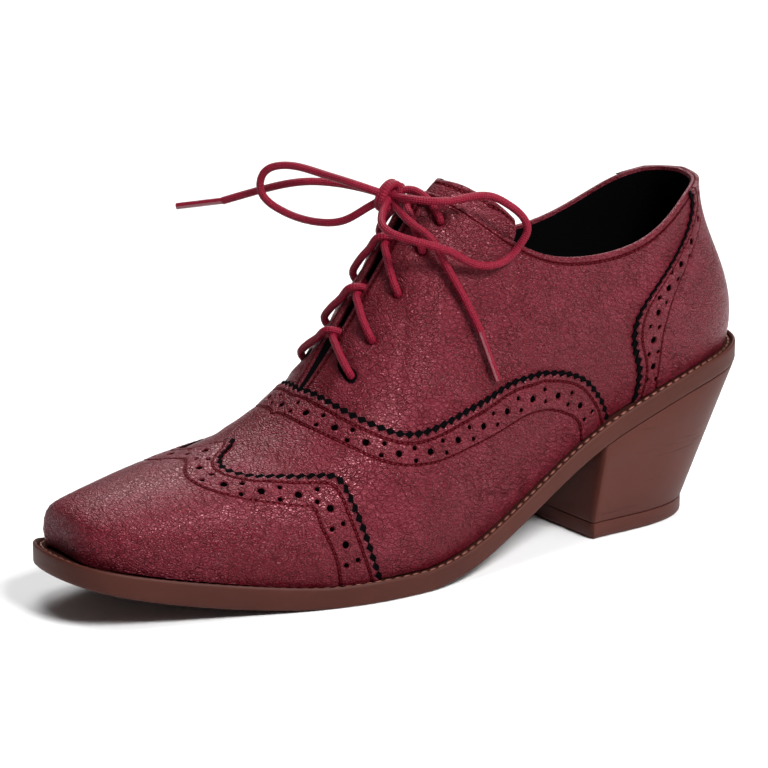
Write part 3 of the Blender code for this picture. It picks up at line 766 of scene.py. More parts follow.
def bent_grid(points, marks=None, second=None, closed=False):
    """Grid whose rows and columns take the given places, with float marks on its vertices.

    Faces from the row named second on take the second finish. A closed grid ends on its first row.
    """
    marks = dict(marks or {})
    if closed:
        points = np.concatenate([points, points[:1]])
        marks = {name: np.concatenate([values, values[:1]]) for name, values in marks.items()}
    rows, columns = points.shape[:2]
    bm = bmesh.new()
    bm.loops.layers.uv.new("UVMap")
    layers = [(bm.verts.layers.float.new(name), values.tolist()) for name, values in marks.items()]
    bmesh.ops.create_grid(bm, x_segments=columns - 1, y_segments=rows - 1, size=1.0, calc_uvs=True)
    if second is not None:
        limit = 2 * second / (rows - 1) - 1
        for face in bm.faces:
            face.material_index = int(face.calc_center_median().y > limit)
    spots = place(points).tolist()
    for vertex in bm.verts:
        column = round((vertex.co.x + 1) / 2 * (columns - 1))
        row = round((vertex.co.y + 1) / 2 * (rows - 1))
        vertex.co = spots[row][column]
        for layer, values in layers:
            vertex[layer] = values[row][column]
    return bm


def close_up(bm):
    """Welds the seams of a bent grid, fills what is left open and turns its faces outwards."""
    bmesh.ops.remove_doubles(bm, verts=bm.verts, dist=WELD)
    bmesh.ops.dissolve_degenerate(bm, edges=bm.edges, dist=WELD / 2)
    bmesh.ops.holes_fill(bm, edges=[edge for edge in bm.edges if edge.is_boundary], sides=0)
    bmesh.ops.recalc_face_normals(bm, faces=bm.faces)
    return bm


def add_piece(name, bm, finishes, nodes=()):
    """Turns a bmesh into a piece on the shoe's body, in place of the named solids."""
    mesh = bpy.data.meshes.new(name)
    bm.to_mesh(mesh)
    bm.free()
    for finish in finishes:
        mesh.materials.append(finish)
    mesh.shade_smooth()
    mesh.set_sharp_from_angle(angle=SHARP_ANGLE)
    piece = bpy.data.objects.new(name, mesh)
    bpy.context.scene.collection.objects.link(piece)
    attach(piece, "root")
    if nodes:
        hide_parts(*nodes)
    return piece


def ring_frames(path):
    """Two directions across a path at each point, carried along it without twist."""
    tangent = unit(np.gradient(path, axis=0))
    across = np.cross(tangent[0], (0.0, 0.0, 1.0))
    if np.linalg.norm(across) < 0.1:
        across = np.cross(tangent[0], (0.0, 1.0, 0.0))
    first = []
    for way in tangent:
        across = unit(across - way * (across @ way))
        first.append(across)
    first = np.array(first)
    return first, np.cross(tangent, first)


def tube(path, radius, sides, looped=False):
    """Round cord along a path, in shoe measures, with closed ends or joined into a ring."""
    first, second = ring_frames(path)
    turn = np.linspace(0, 2 * pi, sides + 1)[None, :, None]
    spread = first[:, None] * np.cos(turn) + second[:, None] * np.sin(turn)
    rings = path[:, None] + radius * spread
    if looped:
        rings[-1] = rings[0]
    else:
        tips = path[[0, -1]][:, None] + 0.72 * radius * spread[[0, -1]]
        middle = np.repeat(path[[0, -1]][:, None], sides + 1, 1)
        rings = np.concatenate([middle[:1], tips[:1], rings, tips[1:], middle[1:]])
    bm = bent_grid(rings)
    uv = bm.loops.layers.uv.active
    run = length_along(path)[-1]
    for face in bm.faces:
        for loop in face.loops:
            loop[uv].uv.y *= run
    return close_up(bm)


def merge(parts):
    """One bmesh from several."""
    whole = parts[0]
    for part in parts[1:]:
        mesh = bpy.data.meshes.new("part")
        part.to_mesh(mesh)
        part.free()
        whole.from_mesh(mesh)
        bpy.data.meshes.remove(mesh)
    return whole


def stitch_rows(path, outside, pitch, length, radius, sink):
    """Matrices of stitches at even steps along a path in metres; outside is a path just off the leather."""
    run = length_along(path)
    count = max(1, int(run[-1] / pitch))
    middles = (np.arange(count) + 0.5) * run[-1] / count
    rows = []
    for middle in middles:
        spot, back, ahead, lifted = (
            Vector([np.interp(middle + shift, run, line[:, k]) for k in range(3)])
            for shift, line in ((0, path), (-pitch / 4, path), (pitch / 4, path), (0, outside)))
        way = (ahead - back).normalized()
        off = (lifted - spot).normalized()
        across = off.cross(way).normalized()
        off = way.cross(across)
        matrix = Matrix((way * length / 2, across * radius, off * radius)).transposed().to_4x4()
        matrix.translation = spot - off * sink
        rows.append(matrix)
    return rows


def sew(name, matrices, finish):
    """Piece made of one small stitch for each matrix."""
    shape = bmesh.new()
    lying = Matrix.Rotation(pi / 2, 4, "Y")
    bmesh.ops.create_uvsphere(shape, u_segments=6, v_segments=5, radius=1.0, matrix=lying)
    stitch = bpy.data.meshes.new("stitch")
    shape.to_mesh(stitch)
    shape.free()
    bm = bmesh.new()
    for matrix in matrices:
        copy = stitch.copy()
        copy.transform(matrix)
        bm.from_mesh(copy)
        bpy.data.meshes.remove(copy)
    bpy.data.meshes.remove(stitch)
    bmesh.ops.recalc_face_normals(bm, faces=bm.faces)
    return add_piece(name, bm, [finish])


class Wire:
    """Socket of a material; arithmetic on it adds Math nodes."""

    def __init__(self, finish, socket):
        self.finish = finish
        self.socket = socket

    def math(self, operation, *values):
        return self.finish.node("ShaderNodeMath", {"operation": operation}, dict(enumerate(values)), 0)

    def __add__(self, other):
        return self.math("ADD", self, other)

    def __sub__(self, other):
        return self.math("SUBTRACT", self, other)

    def __mul__(self, other):
        return self.math("MULTIPLY", self, other)

    def __rsub__(self, other):
        return self.math("SUBTRACT", other, self)

    __radd__ = __add__
    __rmul__ = __mul__

    def sine(self):
        return self.math("SINE", self)

    def math_abs(self):
        return self.math("ABSOLUTE", self)

    def least(self, other):
        return self.math("MINIMUM", self, other)

    def between(self, low, high):
        """0 below low, 1 above high, with a soft step between."""
        limits = {"Value": self, "From Min": low, "From Max": high}
        return self.finish.node("ShaderNodeMapRange", {"interpolation_type": "SMOOTHSTEP"}, limits, "Result")


class Finish:
    """Procedural material built node by node."""

    def __init__(self, name):
        self.material = bpy.data.materials.new(name)
        self.material.use_nodes = True
        self.tree = self.material.node_tree
        self.shader = self.tree.nodes["Principled BSDF"]

    def set(self, node, sockets):
        for key, value in sockets.items():
            if isinstance(value, Wire):
                self.tree.links.new(value.socket, node.inputs[key])
            else:
                node.inputs[key].default_value = value

    def node(self, kind, settings=None, sockets=None, out=0):
        made = self.tree.nodes.new(kind)
        for key, value in (settings or {}).items():
            setattr(made, key, value)
        self.set(made, sockets or {})
        return Wire(self, made.outputs[out])

    def coordinates(self, which="Object"):
        return self.node("ShaderNodeTexCoord", out=which)

    def mark(self, name):
        return self.node("ShaderNodeAttribute", {"attribute_name": name}, out="Fac")

    def stretch(self, at, scale):
        return self.node("ShaderNodeMapping", sockets={"Vector": at, "Scale": scale}, out="Vector")

    def noise(self, at, scale, detail=2.0, out="Fac"):
        return self.node("ShaderNodeTexNoise", None, {"Vector": at, "Scale": scale, "Detail": detail}, out)

    def cells(self, at, scale, feature="F1"):
        sockets = {"Vector": at, "Scale": scale, "Randomness": 1.0}
        return self.node("ShaderNodeTexVoronoi", {"feature": feature}, sockets, "Distance")

    def mix(self, factor, first, second):
        colours = [c if isinstance(c, Wire) else (*c, 1.0) for c in (first, second)]
        return self.node("ShaderNodeMix", {"data_type": "RGBA"}, {0: factor, 6: colours[0], 7: colours[1]}, 2)

    def bump(self, height, distance, strength=1.0):
        sockets = {"Strength": strength, "Distance": distance, "Height": height}
        return self.node("ShaderNodeBump", None, sockets, "Normal")

    def done(self, **sockets):
        self.set(self.shader, {key.replace("_", " "): value for key, value in sockets.items()})
        return self.material


def shade(colour, factor):
    return tuple(channel * factor for channel in colour)


def leather(colours):
    """Pebbled leather: glossy grains, dark red grooves and stitch lines darkened with painted shade, black
    painted in the holes as their shade, and lighter patches of painted sheen.

    The metallic value keeps white sheen off the grooves, stitch lines and holes; nothing here is metal.
    """
    finish = Finish("oxblood leather")
    at = finish.coordinates()
    stir = finish.noise(at, GRAIN_STIR, 3.0, "Color")
    moved = finish.node("ShaderNodeVectorMath", {"operation": "MULTIPLY_ADD"},
                        {0: stir, 1: (GRAIN_STRAY,) * 3, 2: at}, "Vector")
    stretch = {"Vector": moved, "Rotation": GRAIN_SLANT, "Scale": GRAIN_STRETCH}
    slant = finish.node("ShaderNodeMapping", None, stretch, "Vector")
    grain = finish.cells(slant, GRAINS_PER_M, "DISTANCE_TO_EDGE").between(0.0, 0.26)
    crease = finish.cells(slant, CREASES_PER_M, "DISTANCE_TO_EDGE").between(0.0, 0.11)
    swell = finish.noise(at, 260.0, 2.0)
    fine = finish.noise(at, 3800.0, 2.0)
    patch = finish.noise(at, 42.0, 3.0)
    # Noise of the painted sheen patches; it also varies the roughness.
    sheen_noise = finish.noise(at, 170.0, 3.0)
    coarse = patch.between(0.38, 0.62)
    top = grain * (0.25 + coarse * 0.20) + crease * (0.30 + coarse * 0.35) + fine * 0.05 + swell * 1.0
    groove = (1.0 - grain) * 0.45 + (1.0 - crease) * (0.15 + coarse * 0.40)
    # Grooves of the grain darker: painted shade in the folds; the metallic value keeps sheen off them.
    tone = finish.mix(groove.between(0.04, 0.56), colours.leather, colours.leather_shade_and_edge)
    # Lighter mauve patches: painted sheen, standing in for broad reflections off the leather's gentle swells.
    tone = finish.mix((patch * 0.6 + sheen_noise * 0.4).between(0.42, 0.66) * 0.6, tone, colours.leather_sheen)
    sewn = finish.mark("seam").math_abs().least(finish.mark("inner").math_abs())
    # Stitch lines painted in the thread's colour at half strength: the thread's own colour with painted shade
    # of its sunk groove.
    line = 1.0 - sewn.between(0.25, 0.85)
    tone = finish.mix(line, tone, shade(colours.thread, 0.5))
    rim = (1.0 - finish.mark("edge").between(0.0, 0.9)) * 0.55
    tone = finish.mix(rim, tone, shade(colours.leather_shade_and_edge, 0.6))
    # Holes and eyelets are only sunk cups: the black painted in them is painted shade of a cut hole's inside,
    # with the dark underlay seen through the punched holes.
    hole = 1.0 - finish.mark("hole").between(-0.10, 0.06)
    tone = finish.mix(hole, tone, colours.black)
    return finish.done(
        Base_Color=tone,
        Metallic=groove * 0.65 + line * 0.7 + hole,
        Roughness=0.23 + groove * 0.30 + sheen_noise * 0.10 + line * 0.3 + hole * 0.4,
        Specular_IOR_Level=0.42,
        Specular_Tint=(1.0, 0.50, 0.56, 1.0),
        Normal=finish.bump(top, GRAIN_HEIGHT, 1.0),
    )


def thread(name, colour):
    """Twisted sewing thread."""
    finish = Finish(name)
    at = finish.coordinates()
    fibre = finish.noise(at, 2200.0, 2.0)
    return finish.done(
        Base_Color=finish.mix(fibre, shade(colour, 0.7), shade(colour, 1.25)),
        Metallic=0.8,
        Roughness=0.62 - fibre * 0.15,
        Normal=finish.bump(fibre, 0.0001, 0.5),
    )


def cloth(name, colour):
    """Short-napped black lining."""
    finish = Finish(name)
    at = finish.coordinates()
    nap = finish.noise(at, 1500.0, 3.0)
    patch = finish.noise(at, 60.0, 2.0)
    return finish.done(
        Base_Color=finish.mix(nap * 0.6 + patch * 0.4, shade(colour, 0.6), shade(colour, 1.6)),
        Roughness=0.82 + nap * 0.12,
        Specular_IOR_Level=0.02,
        Normal=finish.bump(nap, 0.0003, 0.6),
    )


def sole_rubber(colours):
    """Moulded brown sole, smooth with faint scuffs."""
    finish = Finish("brown sole")
    at = finish.coordinates()
    patch = finish.noise(at, 30.0, 3.0)
    scuff = finish.noise(finish.stretch(at, (0.25, 0.25, 1.6)), 700.0, 3.0)
    tone = finish.mix(patch.between(0.3, 0.7), shade(colours.sole, 0.88), shade(colours.sole, 1.1))
    tone = finish.mix(scuff.between(0.55, 0.8) * 0.22, tone, shade(colours.sole, 1.5))
    return finish.done(
        Base_Color=tone,
        Roughness=0.46 + scuff * 0.14,
        Specular_IOR_Level=0.12,
        Normal=finish.bump(scuff + patch, 0.00012, 0.35),
    )


def heel_stack(colours):
    """Stacked heel: fine level lines, broken and uneven."""
    finish = Finish("brown stacked heel")
    at = finish.coordinates()
    level = finish.stretch(at, (0.03, 0.03, 1.0))
    lines = finish.noise(level, 2300.0, 4.0)
    long_lines = finish.noise(level, 700.0, 2.0)
    broken = finish.noise(at, 90.0, 2.0)
    patch = finish.noise(at, 26.0, 2.0)
    cut = (lines * 0.6 + long_lines * 0.4).between(0.56, 0.72) * broken.between(0.35, 0.6)
    tone = finish.mix(patch.between(0.3, 0.7), shade(colours.heel, 0.9), shade(colours.heel, 1.12))
    tone = finish.mix(cut * 0.55, tone, shade(colours.heel, 0.45))
    return finish.done(
        Base_Color=tone,
        Roughness=0.48 + cut * 0.2,
        Specular_IOR_Level=0.12,
        Normal=finish.bump(1.0 - cut, 0.00018, 0.7),
    )


def lace_cord(colours):
    """Waxed round cord with a slanting plait."""
    finish = Finish("waxed cord")
    around = finish.node("ShaderNodeSeparateXYZ", None, {"Vector": finish.coordinates("UV")}, 0)
    run = Wire(finish, around.socket.node.outputs[1])
    one = (around * (12 * pi) + run * 4.2).sine()
    two = (around * (12 * pi) - run * 4.2).sine()
    plait = (one * two).between(-0.7, 0.7)
    wax = finish.noise(finish.coordinates(), 700.0, 3.0)
    # Plait lighter on its strands and darker between them: painted shade of the braid; the wax mottle is the
    # cord's own tone.
    tone = finish.mix(plait * 0.6 + wax * 0.4, shade(colours.lace, 0.62), shade(colours.lace, 1.18))
    return finish.done(
        Base_Color=tone,
        Roughness=0.40 + wax * 0.16,
        Specular_IOR_Level=0.24,
        Specular_Tint=(1.0, 0.55, 0.62, 1.0),
        Normal=finish.bump(plait * 0.7 + wax * 0.6, 0.00035, 0.8),
    )


def lace_film(colours):
    """Clear film drawn over the end of the cord."""
    finish = Finish("lace tip film")
    wrap = finish.noise(finish.stretch(finish.coordinates(), (1.0, 1.0, 0.2)), 900.0, 2.0)
    return finish.done(
        Base_Color=finish.mix(wrap, shade(colours.lace, 0.7), shade(colours.lace, 1.0)),
        Roughness=0.16 + wrap * 0.1,
        Coat_Weight=0.7,
        Normal=finish.bump(wrap, 0.0001, 0.3),
    )


def floor_paper(colours):
    """Pale floor with a very fine tooth."""
    finish = Finish("pale floor")
    tooth = finish.noise(finish.coordinates(), 400.0, 2.0)
    return finish.done(
        Base_Color=finish.mix(tooth, shade(colours.floor, 0.985), colours.floor),
        Roughness=0.9,
    )


FINISHES = {}


def finish_of(name, context):
    """Material of that name, made at first use."""
    if name not in FINISHES:
        colours = context.scene.shoe_colours
        makers = {
            "leather": lambda: leather(colours),
            "lining": lambda: cloth("black lining", colours.black),
            "underlay": lambda: cloth("black pinked edge", colours.black),
            "thread": lambda: thread("dark red thread", colours.thread),
            "welt thread": lambda: thread("welt thread", colours.welt_thread),
            "sole": lambda: sole_rubber(colours),
            "welt": lambda: cloth("dark welt", colours.welt),
            "heel": lambda: heel_stack(colours),
            "lace": lambda: lace_cord(colours),
            "lace tip": lambda: lace_film(colours),
            "floor": lambda: floor_paper(colours),
        }
        FINISHES[name] = makers[name]()
    return FINISHES[name]


def length(name, description, default, largest=10.0):
    """Length property, in metres, from a default in millimetres."""
    return FloatProperty(name=name, description=description, default=default * MM, min=0.0, max=largest * MM,
                         unit="LENGTH", precision=5)


def colour(name, description, default):
    return FloatVectorProperty(name=name, description=description, default=default, subtype="COLOR",
                               min=0.0, max=1.0, size=3)


class ShoeSizes(bpy.types.PropertyGroup):
    """Sizes of the shoe's trim that a user would change."""

    panel: length("Panel", "Thickness of an overlaid leather panel", 1.1)
    pinking: length("Pinking", "Width of one pinked tooth", 3.1)
    tooth: length("Tooth", "Depth of the pinked teeth", 1.3)
    big_hole: length("Big hole", "Diameter of the single holes", 2.1)
    small_hole: length("Small hole", "Diameter of the paired holes", 1.4)
    stitch: length("Stitch", "Distance between stitches of the panels", 1.75)
    stitch_thread: length("Thread", "Diameter of the sewing thread", 0.55)
    welt_stitch: length("Welt stitch", "Distance between stitches of the welt", 3.4)
    welt_thread: length("Welt thread", "Diameter of the welt thread", 0.9)
    lace: length("Lace", "Diameter of the round lace", 2.5)
    lace_tip: length("Lace tip", "Diameter of the lace's tips", 2.2)


class ShoeColours(bpy.types.PropertyGroup):
    """Colours of the shoe's finishes."""

    leather: colour("Leather", "Tops of the leather's grain", (0.100, 0.0030, 0.0095))
    # Painted shade colour of the grain's folds; it also darkens the cut edges.
    leather_shade_and_edge: colour("Leather, deep", "Painted shade in the grain's folds, and darker cut edges", (0.038, 0.0007, 0.0023))
    # Colour of the lighter patches of painted sheen.
    leather_sheen: colour("Leather, light", "Lighter patches: painted sheen of broad reflections", (0.128, 0.0120, 0.0220))
    # This black is also painted in the holes and eyelets as their shade.
    black: colour("Black", "Lining, pinked underlay and holes", (0.0012, 0.0012, 0.0015))
    thread: colour("Thread", "Stitches of the panels", (0.080, 0.0012, 0.0050))
    welt: colour("Welt", "Strip under the welt stitches", (0.030, 0.009, 0.007))
    welt_thread: colour("Welt thread", "Stitches of the welt", (0.190, 0.075, 0.055))
    sole: colour("Sole", "Moulded sole", (0.055, 0.0150, 0.0105))
    heel: colour("Heel", "Stacked heel", (0.061, 0.0175, 0.0130))
    lace: colour("Lace", "Waxed cord", (0.185, 0.0045, 0.0190))
    floor: colour("Floor", "Floor of the stage", (0.80, 0.80, 0.80))


def in_mm(value):
    return value / MM


def seam_side(rows, side, step, by_share=False):
    """Edge and inner line of a panel on one side at even steps of its edge, and the run of the edge."""
    table = np.column_stack([np.arange(len(rows)), rows])
    fine = np.linspace(0, len(rows) - 1, SEAM_SAMPLES)
    lines = np.stack([spline(table, k, fine) for k in (1, 2, 3, 4)])
    if by_share:
        for k in (0, 2):
            lines[k + 1] *= top_edge(side, lines[k])
    lines[1::2] = np.clip(lines[1::2], 0, 1)
    run = length_along(last(side, lines[0], lines[1]))
    even = np.linspace(0, run[-1], round(run[-1] / step) + 1)
    return np.stack([np.interp(even, run, line) for line in lines]), even


class Seam:
    """Band of a panel between its pinked edge and its inner stitch line, column by column."""

    def __init__(self, side, lines, run):
        self.side = side
        self.edge_along, self.edge_climb, self.inner_along, self.inner_climb = lines
        self.run = run
        self.width = np.linalg.norm(self.at(1.0, 0.0) - self.at(0.0, 0.0), axis=-1)

    def where(self, share):
        along = self.edge_along + (self.inner_along - self.edge_along) * share
        return along, self.edge_climb + (self.inner_climb - self.edge_climb) * share

    def at(self, share, off):
        along, climb = self.where(share)
        return both_sides(self.side, along, climb, off)


def over_ridge(rows, step):
    """Seam from the lateral foot over the ridge to the medial foot, with its run counted from the ridge."""
    lateral, lateral_run = seam_side(rows, LATERAL, step)
    medial, medial_run = seam_side(rows, MEDIAL, step)
    lines = np.concatenate([lateral, medial[:, -2::-1]], 1)
    run = np.concatenate([lateral_run - lateral_run[-1], medial_run[-1] - medial_run[-2::-1]])
    side = np.where(run <= 0, LATERAL, MEDIAL)
    return Seam(side, lines, run)


def wave(run, pitch):
    """Triangle wave: 0 at whole steps, 1 halfway between."""
    return 2 * np.abs((run / pitch + 0.5) % 1 - 0.5)


def punched_holes(seam, beat, sizes):
    """Middle and radius of each hole: single big ones and pairs of small ones in turn."""
    middle = seam.at((OUTER_STITCH + seam.width) / (2 * seam.width), 0.0)
    across = seam.at(1.0, 0.0) - seam.at(0.0, 0.0)
    way = unit(np.gradient(middle, axis=0))
    across = unit(across - way * (across * way).sum(-1)[:, None])
    run = length_along(middle)
    run -= np.interp(0, seam.run, run)
    holes = []
    for step in range(int(np.ceil(2 * run[0] / beat)), int(2 * run[-1] / beat) + 1):
        column = np.argmin(np.abs(run - step * beat / 2))
        if not HOLES_FROM_END < run[column] - run[0] < run[-1] - run[0] - HOLES_FROM_END:
            continue
        if step % 2:
            holes += [(middle[column] + side * PAIR_APART * across[column], in_mm(sizes.small_hole) / 2)
                      for side in (-1, 1)]
        else:
            holes.append((middle[column], in_mm(sizes.big_hole) / 2))
    return holes


def hole_distance(points, holes):
    """Distance of points to the edge of the nearest hole, negative inside it."""
    nearest = np.full(points.shape[:-1], NO_HOLE)
    for middle, radius in holes:
        nearest = np.minimum(nearest, np.linalg.norm(points - middle, axis=-1) - radius)
    return nearest


def panel_rows(seam, far_along, far_climb, lift, far_lift, beat, sizes):
    """Rows of a panel from its pinked edge over the band to its far edge: places, heights and marks."""
    tooth = in_mm(sizes.tooth) * wave(seam.run, in_mm(sizes.pinking))
    share = np.linspace(0, 1, BAND_ROWS + 1)[:, None]
    depth = tooth + (seam.width - tooth) * share
    along, climb = seam.where(depth / seam.width)
    field = (np.arange(1, FIELD_ROWS + 1) / FIELD_ROWS)[:, None]
    field_along = seam.inner_along + (far_along - seam.inner_along) * field
    field_climb = seam.inner_climb + (far_climb - seam.inner_climb) * field
    side = np.broadcast_to(seam.side, field_along.shape)
    steps = np.diff(both_sides(side, field_along, field_climb, 0.0), axis=0, prepend=seam.at(1.0, 0.0)[None])
    field_depth = seam.width + np.cumsum(np.linalg.norm(steps, axis=-1), 0)
    along = np.concatenate([along, field_along])
    climb = np.concatenate([climb, field_climb])
    depth = np.concatenate([depth, field_depth])
    side = np.broadcast_to(seam.side, along.shape)
    band = np.clip((depth - OUTER_STITCH) / (seam.width - OUTER_STITCH), 0, 1)
    hole = np.full(along.shape, NO_HOLE)
    punched = both_sides(side[:BAND_ROWS + 1], along[:BAND_ROWS + 1], climb[:BAND_ROWS + 1], 0.0)
    hole[:BAND_ROWS + 1] = hole_distance(punched, punched_holes(seam, beat, sizes))
    from_edge = depth - tooth
    ease = np.concatenate([np.zeros_like(share), field])
    smooth = lift + (far_lift - lift) * ease + relief(side, along, climb)
    off = smooth + 0.16 * np.sin(pi * band) - 0.3 * np.exp(-(from_edge / 0.4) ** 2)
    for line in (OUTER_STITCH, seam.width):
        off = off - STITCH_SINK * np.exp(-((depth - line) / STITCH_SINK_WIDTH) ** 2)
    off = off - HOLE_DEPTH * np.clip(0.5 - hole / 0.35, 0, 1)
    marks = {"edge": from_edge, "hole": hole, "seam": depth - OUTER_STITCH, "inner": depth - seam.width}
    return side, along, climb, off, smooth, marks


def panel_piece(name, rows, thickness, finishes, nodes, inner_rows=INNER_ROWS):
    """Closed leather panel: its outside row by row, then its inside back to the pinked edge."""
    side, along, climb, off, smooth, marks = rows
    outside = both_sides(side, along, climb, off)
    back = np.linspace(len(along) - 1, 0, inner_rows).round().astype(int)
    inside = both_sides(side[back], along[back], climb[back], smooth[back] - thickness)
    marks = {key: np.concatenate([values, values[back]]) for key, values in marks.items()}
    bm = close_up(bent_grid(np.concatenate([outside, inside]), marks, closed=True))
    return add_piece(name, bm, finishes, nodes)


def underlay_piece(name, seam, lift, sizes, finish):
    """Black pinked strip under the edge of a panel, its teeth between those of the leather."""
    teeth = UNDERLAY_TEETH * (1 - wave(seam.run, in_mm(sizes.pinking))) - UNDERLAY_PROUD
    depth = teeth + (OUTER_STITCH + 0.6 - teeth) * np.linspace(0, 1, 4)[:, None]
    along, climb = seam.where(depth / seam.width)
    side = np.broadcast_to(seam.side, along.shape)
    height = lift + relief(side, along, climb)
    outside = both_sides(side, along, climb, height)
    inside = both_sides(side, along, climb, height - 0.45)[::-1]
    bm = close_up(bent_grid(np.concatenate([outside, inside]), closed=True))
    return add_piece(name, bm, [finish])


def seam_stitches(seam, lift, sizes):
    """Stitches of a panel's two lines."""
    rows = []
    for share in (OUTER_STITCH / seam.width, np.ones_like(seam.width)):
        along, climb = seam.where(share)
        height = lift + relief(seam.side, along, climb) - STITCH_SINK
        path = place(both_sides(seam.side, along, climb, height))
        outside = place(both_sides(seam.side, along, climb, height + 1))
        rows += stitch_rows(path, outside, sizes.stitch, STITCH_FILL * sizes.stitch,
                            sizes.stitch_thread / 2, 0.0)
    return rows


class SHOE_OT_panels(bpy.types.Operator):
    """Pinked and punched panels: wing cap, vamp and heel counter, with their black edges and stitches"""

    bl_idname = "shoe.panels"
    bl_label = "Leather panels"

    def execute(self, context):
        sizes = context.scene.shoe_sizes
        hide = [finish_of("leather", context)]
        black = finish_of("underlay", context)
        step = in_mm(sizes.pinking) / COLUMNS_PER_TOOTH
        thick = in_mm(sizes.panel)
        wing = over_ridge(WING_SEAM, step)
        wing_lift = 2 * thick
        toe = np.full_like(wing.run, PANEL_TOE)
        rows = panel_rows(wing, toe, wing.inner_climb, wing_lift, thick, WING_BEAT, sizes)
        panel_piece("wing_cap_leather", rows, thick, hide, ["wing_cap"])
        underlay_piece("wing_cap_edge", wing, wing_lift - 0.5, sizes, black)
        vamp = over_ridge(VAMP_SEAM, step)
        order = np.argsort(wing.edge_climb[wing.side == LATERAL])
        climbs = wing.edge_climb[wing.side == LATERAL][order]
        edge = wing.edge_along[wing.side == LATERAL][order]
        front = np.interp(vamp.inner_climb, climbs, edge) + VAMP_UNDER_WING
        rows = panel_rows(vamp, front, vamp.inner_climb, thick, thick, VAMP_BEAT, sizes)
        panel_piece("vamp_leather", rows, thick, hide, ["vamp"])
        underlay_piece("vamp_edge", vamp, thick - 0.5, sizes, black)
        stitches = seam_stitches(wing, wing_lift, sizes) + seam_stitches(vamp, thick, sizes)
        stitches += self.counter(context, step, thick, hide, black)
        sew("panel_stitches", stitches, finish_of("thread", context))
        return {"FINISHED"}

    def counter(self, context, step, thick, hide, black):
        """Counter from one side round the back to the other; gives back its stitches."""
        sizes = context.scene.shoe_sizes
        lateral, run = seam_side(COUNTER_SEAM, LATERAL, step, True)
        medial, medial_run = seam_side(COUNTER_SEAM, MEDIAL, step, True)
        share = np.linspace(0, 1, len(run))
        medial_share = np.linspace(0, 1, len(medial_run))
        medial = np.stack([np.interp(share, medial_share, line) for line in medial])
        halves = []
        stitches = []
        for side, lines in ((LATERAL, lateral), (MEDIAL, medial)):
            seam = Seam(np.full(len(run), side), lines, run)
            tops = top_edge(side, np.zeros(1)) * np.ones(len(run))
            back_climb = seam.inner_climb / top_edge(side, seam.inner_along) * tops
            halves.append(panel_rows(seam, np.zeros(len(run)), back_climb, thick, thick, COUNTER_BEAT, sizes))
            name = "lateral" if side == LATERAL else "medial"
            underlay_piece(f"heel_counter_edge_{name}", seam, thick - 0.5, sizes, black)
            stitches += seam_stitches(seam, thick, sizes)
        pairs = zip(halves[0][:5], halves[1][:5])
        rows = [np.concatenate([first, second[-2::-1]]) for first, second in pairs]
        marks = {key: np.concatenate([halves[0][5][key], halves[1][5][key][-2::-1]]) for key in halves[0][5]}
        panel_piece("heel_counter_leather", (*rows, marks), thick, hide, ["heel_counter"],
                    COUNTER_INNER_ROWS)
        return stitches


